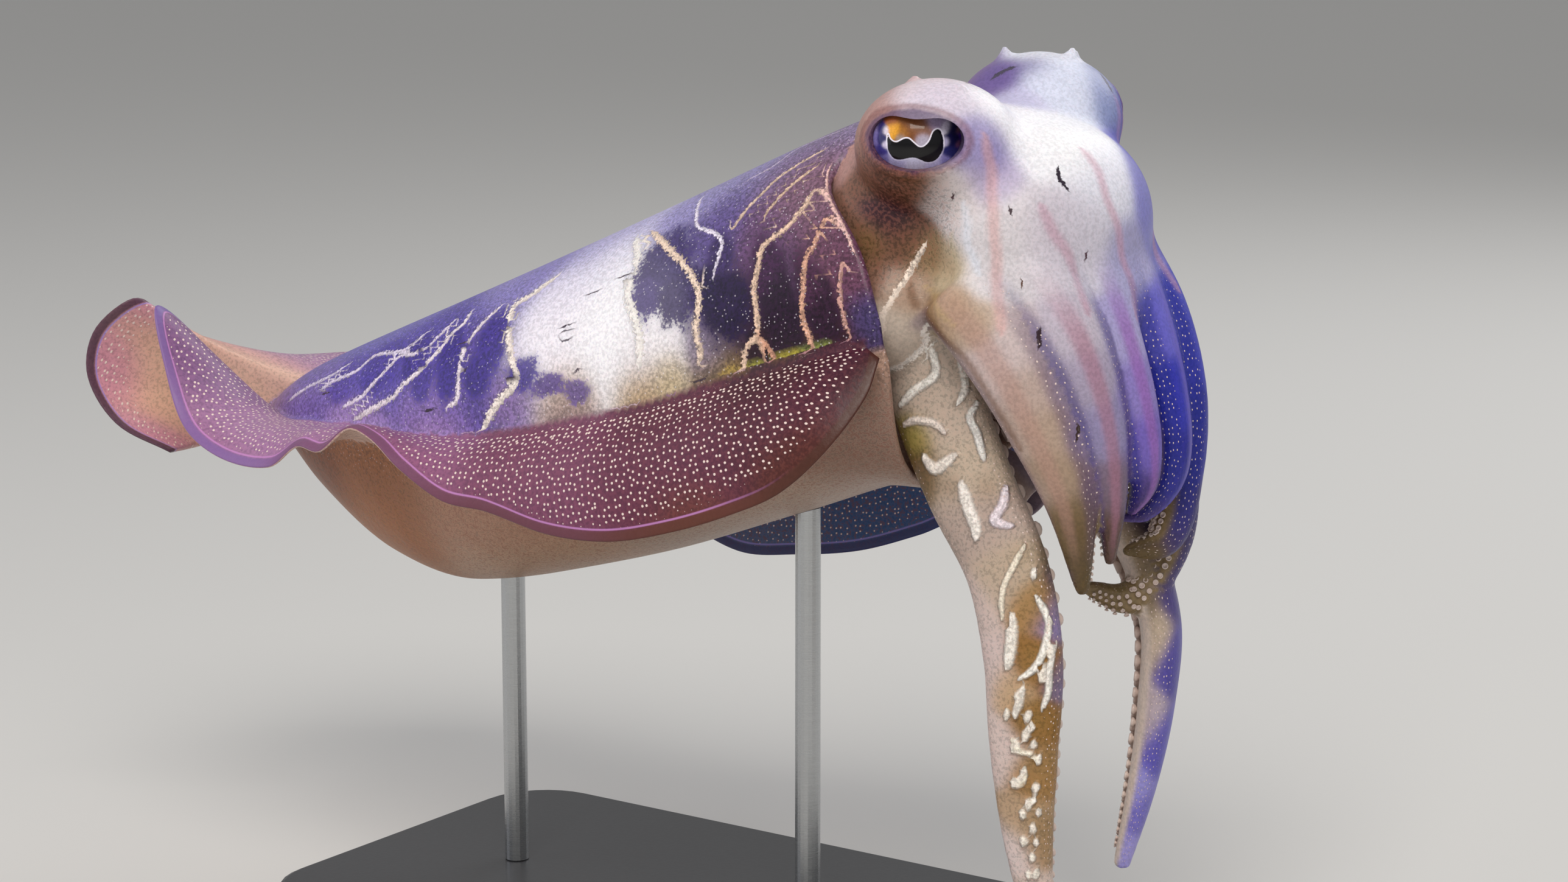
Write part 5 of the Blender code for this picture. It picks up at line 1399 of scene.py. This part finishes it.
def make_eyes():
    """Eyeballs whose rows close up on the pupil, with the pupil's outline and the iris colours stored"""
    eyes = []
    turns = turns_round(EYE_AROUND)
    for side, name in ((-1, "right"), (1, "left")):
        facing, ahead, up = eye_axes(side)
        rows = []
        for row in range(EYE_ROWS + 1):
            polar = math.pi * (row / EYE_ROWS) ** EYE_CROWDING
            ring = (np.cos(turns)[:, None] * ahead + np.sin(turns)[:, None] * up) * math.sin(polar)
            rows.append(eye_centre(side) + EYE_RADIUS * (ring + facing * math.cos(polar)))
        ball = drawn_sphere(f"eyeball_{name}", rows)
        off = vertex_places(ball) - eye_centre(side)
        flat = np.stack([off @ ahead, off @ up], axis=1)
        in_front = off @ facing > 0
        pupil = np.where(in_front, inside_distance(flat, closed_curve(PUPIL)), -9.0)
        write(ball, "pupil", pupil)
        write(ball, "tone", washed(flat, IRIS_WASHES))
        # the pupil's pale rim is painted brighter on its upper side, a painted highlight of light from above
        upper = 0.35 + 0.65 * step(flat[:, 1], -0.2, 0.6)
        write(ball, "lit_rim", np.where(in_front, upper, 0.0))
        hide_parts(f"eye_{name}")
        eyes.append(ball)
    return eyes


# Materials


# settings of the nodes that blend softly or mix colours
SOFT = {"interpolation_type": "SMOOTHSTEP"}
COLOURS = {"output": 2, "data_type": "RGBA"}


def add(tree, kind, inputs=(), output=0, **settings):
    """Adds a node with its settings and returns an output; an input is a value or another node's output"""
    made = tree.nodes.new("ShaderNode" + kind)
    for name, value in settings.items():
        setattr(made, name, value)
    for key, value in dict(inputs).items():
        if isinstance(value, bpy.types.NodeSocket):
            tree.links.new(value, made.inputs[key])
        else:
            made.inputs[key].default_value = value
    return made.outputs[output]


def new_material(name):
    """Material with its node tree and its shader"""
    material = bpy.data.materials.new(name)
    material.use_nodes = True
    return material, material.node_tree, material.node_tree.nodes["Principled BSDF"]


def hex_socket(colour):
    """Linear colour with full cover, as a shader's socket takes it"""
    return (*linear(colour), 1.0)


def wet_skin():
    """Live skin, wet and slightly see-through: a soft sheen over colour that sits in small pigment spots"""
    material, tree, shader = new_material("wet_cuttlefish_skin")
    place = add(tree, "TexCoord", output=3)
    chart = add(tree, "Attribute", output=1, attribute_name="chart")
    tone = add(tree, "Attribute", output=1, attribute_name="tone")
    ink_tone = add(tree, "Attribute", output=1, attribute_name="ink_tone")
    mark = add(tree, "Attribute", output=1, attribute_name="mark")
    field = {name: add(tree, "Attribute", output=2, attribute_name=name)
             for name in ("ink", "line", "line_shows", "line_height", "dots", "grain", "specks", "rim",
                          "granular")}
    # grain of the pigment spots, 0.9 mm, and of broader cloudy changes, 5 mm
    fine = add(tree, "TexNoise", {"Vector": place, "Scale": 1 / (0.9 * MM), "Detail": 3.0, "Roughness": 0.6})
    cloud = add(tree, "TexNoise", {"Vector": place, "Scale": 1 / (5.0 * MM), "Detail": 3.0})
    # dark patches, whose edges the pigment spots break up
    edge = add(tree, "Math", {0: cloud, 1: 0.9, 2: field["ink"]}, operation="MULTIPLY_ADD")
    edge = add(tree, "Math", {0: fine, 1: 1.5, 2: edge}, operation="MULTIPLY_ADD")
    ink = add(tree, "MapRange", {0: edge, 1: 1.0, 2: 1.5, 3: 0.0, 4: 0.92}, **SOFT)
    colour = add(tree, "Mix", {0: ink, 6: tone, 7: ink_tone}, **COLOURS)
    speckle = add(tree, "MapRange", {0: fine, 1: 0.51, 2: 0.57}, **SOFT)
    speckle = add(tree, "Math", {0: speckle, 1: field["grain"]}, operation="MULTIPLY")
    speckle = add(tree, "Math", {0: speckle, 1: 0.6}, operation="MULTIPLY")
    colour = add(tree, "Mix", {0: speckle, 6: colour, 7: hex_socket("#6d4237")}, **COLOURS)
    # pale lines with a frayed edge, smoother where they are raised folds
    fray = add(tree, "MapRange", {0: field["line_height"], 1: 1.0, 2: 1.6, 3: 3.4, 4: 0.7})
    frayed = add(tree, "Math", {0: fine, 1: 0.5}, operation="SUBTRACT")
    frayed = add(tree, "Math", {0: frayed, 1: fray, 2: field["line"]}, operation="MULTIPLY_ADD")
    frayed = add(tree, "Math", {0: frayed}, operation="ABSOLUTE")
    line = add(tree, "MapRange", {0: frayed, 1: 0.55, 2: 1.15, 3: 1.0, 4: 0.0}, **SOFT)
    line = add(tree, "Math", {0: line, 1: field["line_shows"]}, operation="MULTIPLY")
    colour = add(tree, "Mix", {0: line, 6: colour, 7: mark}, **COLOURS)
    # pigment spots lighten and darken the whole skin, most on the mantle
    spotted = add(tree, "MapRange", {0: fine, 1: 0.40, 2: 0.60, 3: -0.4, 4: 0.34})
    spotted = add(tree, "Math", {0: spotted, 1: field["granular"], 2: 1.0}, operation="MULTIPLY_ADD")
    colour = add(tree, "VectorMath", {0: colour, 3: spotted}, operation="SCALE")
    # pinkish white dots under 1 mm across and 2 mm apart
    cell = add(tree, "Mapping", {"Vector": chart, "Scale": (1 / 2.0, 1 / 2.0, 1.0)})
    spot = add(tree, "TexVoronoi", {"Vector": cell, "Scale": 1.0, "Randomness": 0.62},
               voronoi_dimensions="2D")
    size = add(tree, "Math", {0: field["dots"], 1: 0.185}, operation="MULTIPLY")
    spot = add(tree, "Math", {0: size, 1: spot}, operation="SUBTRACT")
    dot = add(tree, "MapRange", {0: spot, 1: -0.03, 2: 0.05}, **SOFT)
    showing = add(tree, "Math", {0: field["dots"], 1: 0.2}, operation="GREATER_THAN")
    dot = add(tree, "Math", {0: dot, 1: showing}, operation="MULTIPLY")
    colour = add(tree, "Mix", {0: dot, 6: colour, 7: hex_socket("#f3ddd6")}, **COLOURS)
    # white specks under half a millimetre on the back, drawn a little coarser than life
    speck = add(tree, "TexVoronoi", {"Vector": place, "Scale": 1 / (1.3 * MM)})
    speck = add(tree, "MapRange", {0: speck, 1: 0.2, 2: 0.12}, **SOFT)
    speck = add(tree, "Math", {0: speck, 1: field["specks"]}, operation="MULTIPLY")
    speck = add(tree, "Math", {0: speck, 1: 0.45}, operation="MULTIPLY")
    colour = add(tree, "Mix", {0: speck, 6: colour, 7: hex_socket("#efe6f2")}, **COLOURS)
    # fin margin: a band in its own colour, 3 mm wide, and a pale pink line 3.2 mm from the edge
    band = add(tree, "MapRange", {0: field["rim"], 1: 2.2, 2: 3.4, 3: 0.85, 4: 0.0}, **SOFT)
    colour = add(tree, "Mix", {0: band, 6: colour, 7: ink_tone}, **COLOURS)
    thread = add(tree, "Math", {0: field["rim"], 1: 3.2}, operation="SUBTRACT")
    thread = add(tree, "Math", {0: thread}, operation="ABSOLUTE")
    thread = add(tree, "MapRange", {0: thread, 1: 0.1, 2: 0.42, 3: 0.75, 4: 0.0}, **SOFT)
    thread = add(tree, "Math", {0: thread, 1: field["line_shows"]}, operation="MULTIPLY")
    colour = add(tree, "Mix", {0: thread, 6: colour, 7: mark}, **COLOURS)
    tree.links.new(colour, shader.inputs["Base Color"])
    # relief: raised lines, dots and spots
    raised = add(tree, "Math", {0: line, 1: field["line_height"]}, operation="MULTIPLY")
    relief = add(tree, "Math", {0: fine, 1: 0.25, 2: raised}, operation="MULTIPLY_ADD")
    relief = add(tree, "Math", {0: dot, 1: 0.4, 2: relief}, operation="MULTIPLY_ADD")
    relief = add(tree, "Math", {0: cloud, 1: 0.8, 2: relief}, operation="MULTIPLY_ADD")
    bump = add(tree, "Bump", {"Strength": 0.6, "Distance": 0.6 * MM, "Height": relief})
    tree.links.new(bump, shader.inputs["Normal"])
    roughness = add(tree, "MapRange", {0: fine, 1: 0.3, 2: 0.7, 3: 0.36, 4: 0.5})
    tree.links.new(roughness, shader.inputs["Roughness"])
    shader.inputs["Coat Weight"].default_value = 0.1
    shader.inputs["Coat Roughness"].default_value = 0.22
    shader.inputs["Specular IOR Level"].default_value = 0.28
    shader.inputs["Subsurface Weight"].default_value = 0.12
    shader.inputs["Subsurface Radius"].default_value = (1.0, 0.45, 0.35)
    shader.inputs["Subsurface Scale"].default_value = 1.5 * MM
    return material


def eye_surface():
    """Clear wet eye: a black pupil edged in white, partly its own pale rim and partly a painted highlight
    above, over a shiny iris of lavender, gold and dark blue
    """
    material, tree, shader = new_material("wet_clear_eye")
    place = add(tree, "TexCoord", output=3)
    tone = add(tree, "Attribute", output=1, attribute_name="tone")
    pupil = add(tree, "Attribute", output=2, attribute_name="pupil")
    lit_rim = add(tree, "Attribute", output=2, attribute_name="lit_rim")
    fibres = add(tree, "TexNoise", {"Vector": place, "Scale": 1 / (0.5 * MM), "Detail": 3.0})
    fibres = add(tree, "MapRange", {0: fibres, 1: 0.3, 2: 0.7, 3: 0.85, 4: 1.15})
    colour = add(tree, "VectorMath", {0: tone, 3: fibres}, operation="SCALE")
    # white edge 0.5 mm wide round the pupil: its own pale rim, with a painted highlight that makes it
    # brightest on the upper side
    rim = add(tree, "Math", {0: pupil, 1: 0.2}, operation="ADD")
    rim = add(tree, "Math", {0: rim}, operation="ABSOLUTE")
    rim = add(tree, "MapRange", {0: rim, 1: 0.06, 2: 0.28, 3: 1.0, 4: 0.0}, **SOFT)
    rim = add(tree, "Math", {0: rim, 1: lit_rim}, operation="MULTIPLY")
    colour = add(tree, "Mix", {0: rim, 6: colour, 7: hex_socket("#f4f0ff")}, **COLOURS)
    black = add(tree, "MapRange", {0: pupil, 1: -0.08, 2: 0.08}, **SOFT)
    colour = add(tree, "Mix", {0: black, 6: colour, 7: hex_socket("#050409")}, **COLOURS)
    tree.links.new(colour, shader.inputs["Base Color"])
    shader.inputs["Roughness"].default_value = 0.3
    shader.inputs["Specular IOR Level"].default_value = 0.2
    shader.inputs["Coat Weight"].default_value = 0.4
    shader.inputs["Coat Roughness"].default_value = 0.04
    return material


def sucker_flesh():
    """Soft pale muscle with a wet shine, pinker in soft cloudy patches"""
    material, tree, shader = new_material("wet_sucker_flesh")
    place = add(tree, "TexCoord", output=3)
    cloud = add(tree, "TexNoise", {"Vector": place, "Scale": 1 / (8.0 * MM), "Detail": 2.0})
    colour = add(tree, "Mix", {0: cloud, 6: hex_socket("#e9dcd2"), 7: hex_socket("#cbb0a8")},
                 **COLOURS)
    tree.links.new(colour, shader.inputs["Base Color"])
    shader.inputs["Roughness"].default_value = 0.35
    shader.inputs["Coat Weight"].default_value = 0.3
    return material


def satin_paint():
    """Powder-coated metal: even dark grey with a faint orange-peel texture"""
    material, tree, shader = new_material("satin_painted_metal")
    place = add(tree, "TexCoord", output=3)
    peel = add(tree, "TexNoise", {"Vector": place, "Scale": 1 / (1.2 * MM), "Detail": 2.0})
    bump = add(tree, "Bump", {"Strength": 0.25, "Distance": 0.1 * MM, "Height": peel})
    shade = add(tree, "Mix", {0: peel, 6: hex_socket("#2f3033"), 7: hex_socket("#3a3b3f")},
                **COLOURS)
    tree.links.new(shade, shader.inputs["Base Color"])
    tree.links.new(bump, shader.inputs["Normal"])
    shader.inputs["Roughness"].default_value = 0.42
    shader.inputs["Coat Weight"].default_value = 0.2
    return material


def brushed_steel():
    """Ground steel rod: bright metal with fine marks round it"""
    material, tree, shader = new_material("brushed_steel")
    place = add(tree, "TexCoord", output=3)
    rings = add(tree, "Mapping", {"Vector": place, "Scale": (40.0, 40.0, 9000.0)})
    marks = add(tree, "TexNoise", {"Vector": rings, "Scale": 1.0, "Detail": 2.0})
    roughness = add(tree, "MapRange", {0: marks, 1: 0.3, 2: 0.7, 3: 0.22, 4: 0.38})
    bump = add(tree, "Bump", {"Strength": 0.2, "Distance": 0.05 * MM, "Height": marks})
    tree.links.new(roughness, shader.inputs["Roughness"])
    tree.links.new(bump, shader.inputs["Normal"])
    shader.inputs["Base Color"].default_value = hex_socket("#b9bbbd")
    shader.inputs["Metallic"].default_value = 1.0
    return material


def matt_floor():
    """Pale matt board"""
    material, _, shader = new_material("pale_matt_floor")
    shader.inputs["Base Color"].default_value = hex_socket("#d9d8d6")
    shader.inputs["Roughness"].default_value = 0.8
    return material


def give(obj, material):
    """Gives a piece its material"""
    obj.data.materials.clear()
    obj.data.materials.append(material)


def make_camera():
    """Camera at the photograph's viewing angle"""
    azimuth, elevation = math.radians(VIEW_AZIMUTH), math.radians(VIEW_ELEVATION)
    back = Vector((math.sin(azimuth) * math.cos(elevation), -math.cos(azimuth) * math.cos(elevation),
                   math.sin(elevation)))
    camera = bpy.data.objects.new("camera", bpy.data.cameras.new("camera"))
    camera.data.lens = LENS
    camera.data.sensor_width = SENSOR
    camera.data.clip_start = 0.01
    camera.data.clip_end = 30.0
    camera.location = to_world((0, 0, 0)) + back * VIEW_DISTANCE * MM
    camera.rotation_mode = "QUATERNION"
    camera.rotation_quaternion = (-back).to_track_quat("-Z", "Y")
    bpy.context.scene.collection.objects.link(camera)
    bpy.context.scene.camera = camera


def make_floor():
    """Round pale floor, wide enough to fill the picture"""
    bm = bmesh.new()
    bmesh.ops.create_circle(bm, cap_ends=True, segments=64, radius=9.0)
    floor = new_object("floor", bm)
    give(floor, matt_floor())


def make_light(name, place, size, energy, colour):
    """Soft square light that looks at the animal"""
    lamp = bpy.data.lights.new(name, "AREA")
    lamp.size = size
    lamp.energy = energy
    lamp.color = linear(colour)
    light = bpy.data.objects.new(name, lamp)
    light.location = place
    light.rotation_mode = "QUATERNION"
    light.rotation_quaternion = (Vector(place) - Vector((0, 0, 0.15))).to_track_quat("Z", "Y")
    bpy.context.scene.collection.objects.link(light)


# place and size in metres, strength in watts and colour of each light
LIGHTS = [
    ("key", (0.5, -0.9, 1.3), 0.8, 15.0, "#fffaf2"), ("fill", (-1.2, -0.9, 0.7), 1.4, 4.5, "#f2f5ff"),
    ("rim", (0.2, 1.3, 1.1), 1.0, 8.0, "#ffffff"),
]
WORLD_STRENGTH = 0.42


def make_studio():
    """Floor, three soft lights and an even pale surrounding"""
    make_floor()
    for name, place, size, energy, colour in LIGHTS:
        make_light(name, place, size, energy, colour)
    world = bpy.data.worlds.new("studio")
    world.use_nodes = True
    background = world.node_tree.nodes["Background"]
    background.inputs["Color"].default_value = hex_socket("#eeeeee")
    background.inputs["Strength"].default_value = WORLD_STRENGTH
    bpy.context.scene.world = world
    bpy.context.scene.view_settings.view_transform = "Standard"


make_camera()
make_studio()
skin, sources = make_skin()
regions, charts, distances = matched(skin, sources)
soften_joins(skin, distances)
paint_skin(skin, regions, charts)
give(skin, wet_skin())
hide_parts(*[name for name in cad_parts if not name.startswith(("eye_", "stand_"))])
suckers = make_suckers()
give(suckers, sucker_flesh())
eyes = make_eyes()
for eye in eyes:
    give(eye, eye_surface())
for piece in [skin, suckers, *eyes]:
    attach(piece, "root")
for name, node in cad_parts.items():
    if name.startswith("stand_"):
        material = satin_paint() if name == "stand_base" else brushed_steel()
        for i in range(len(node.data.materials)):
            node.data.materials[i] = material
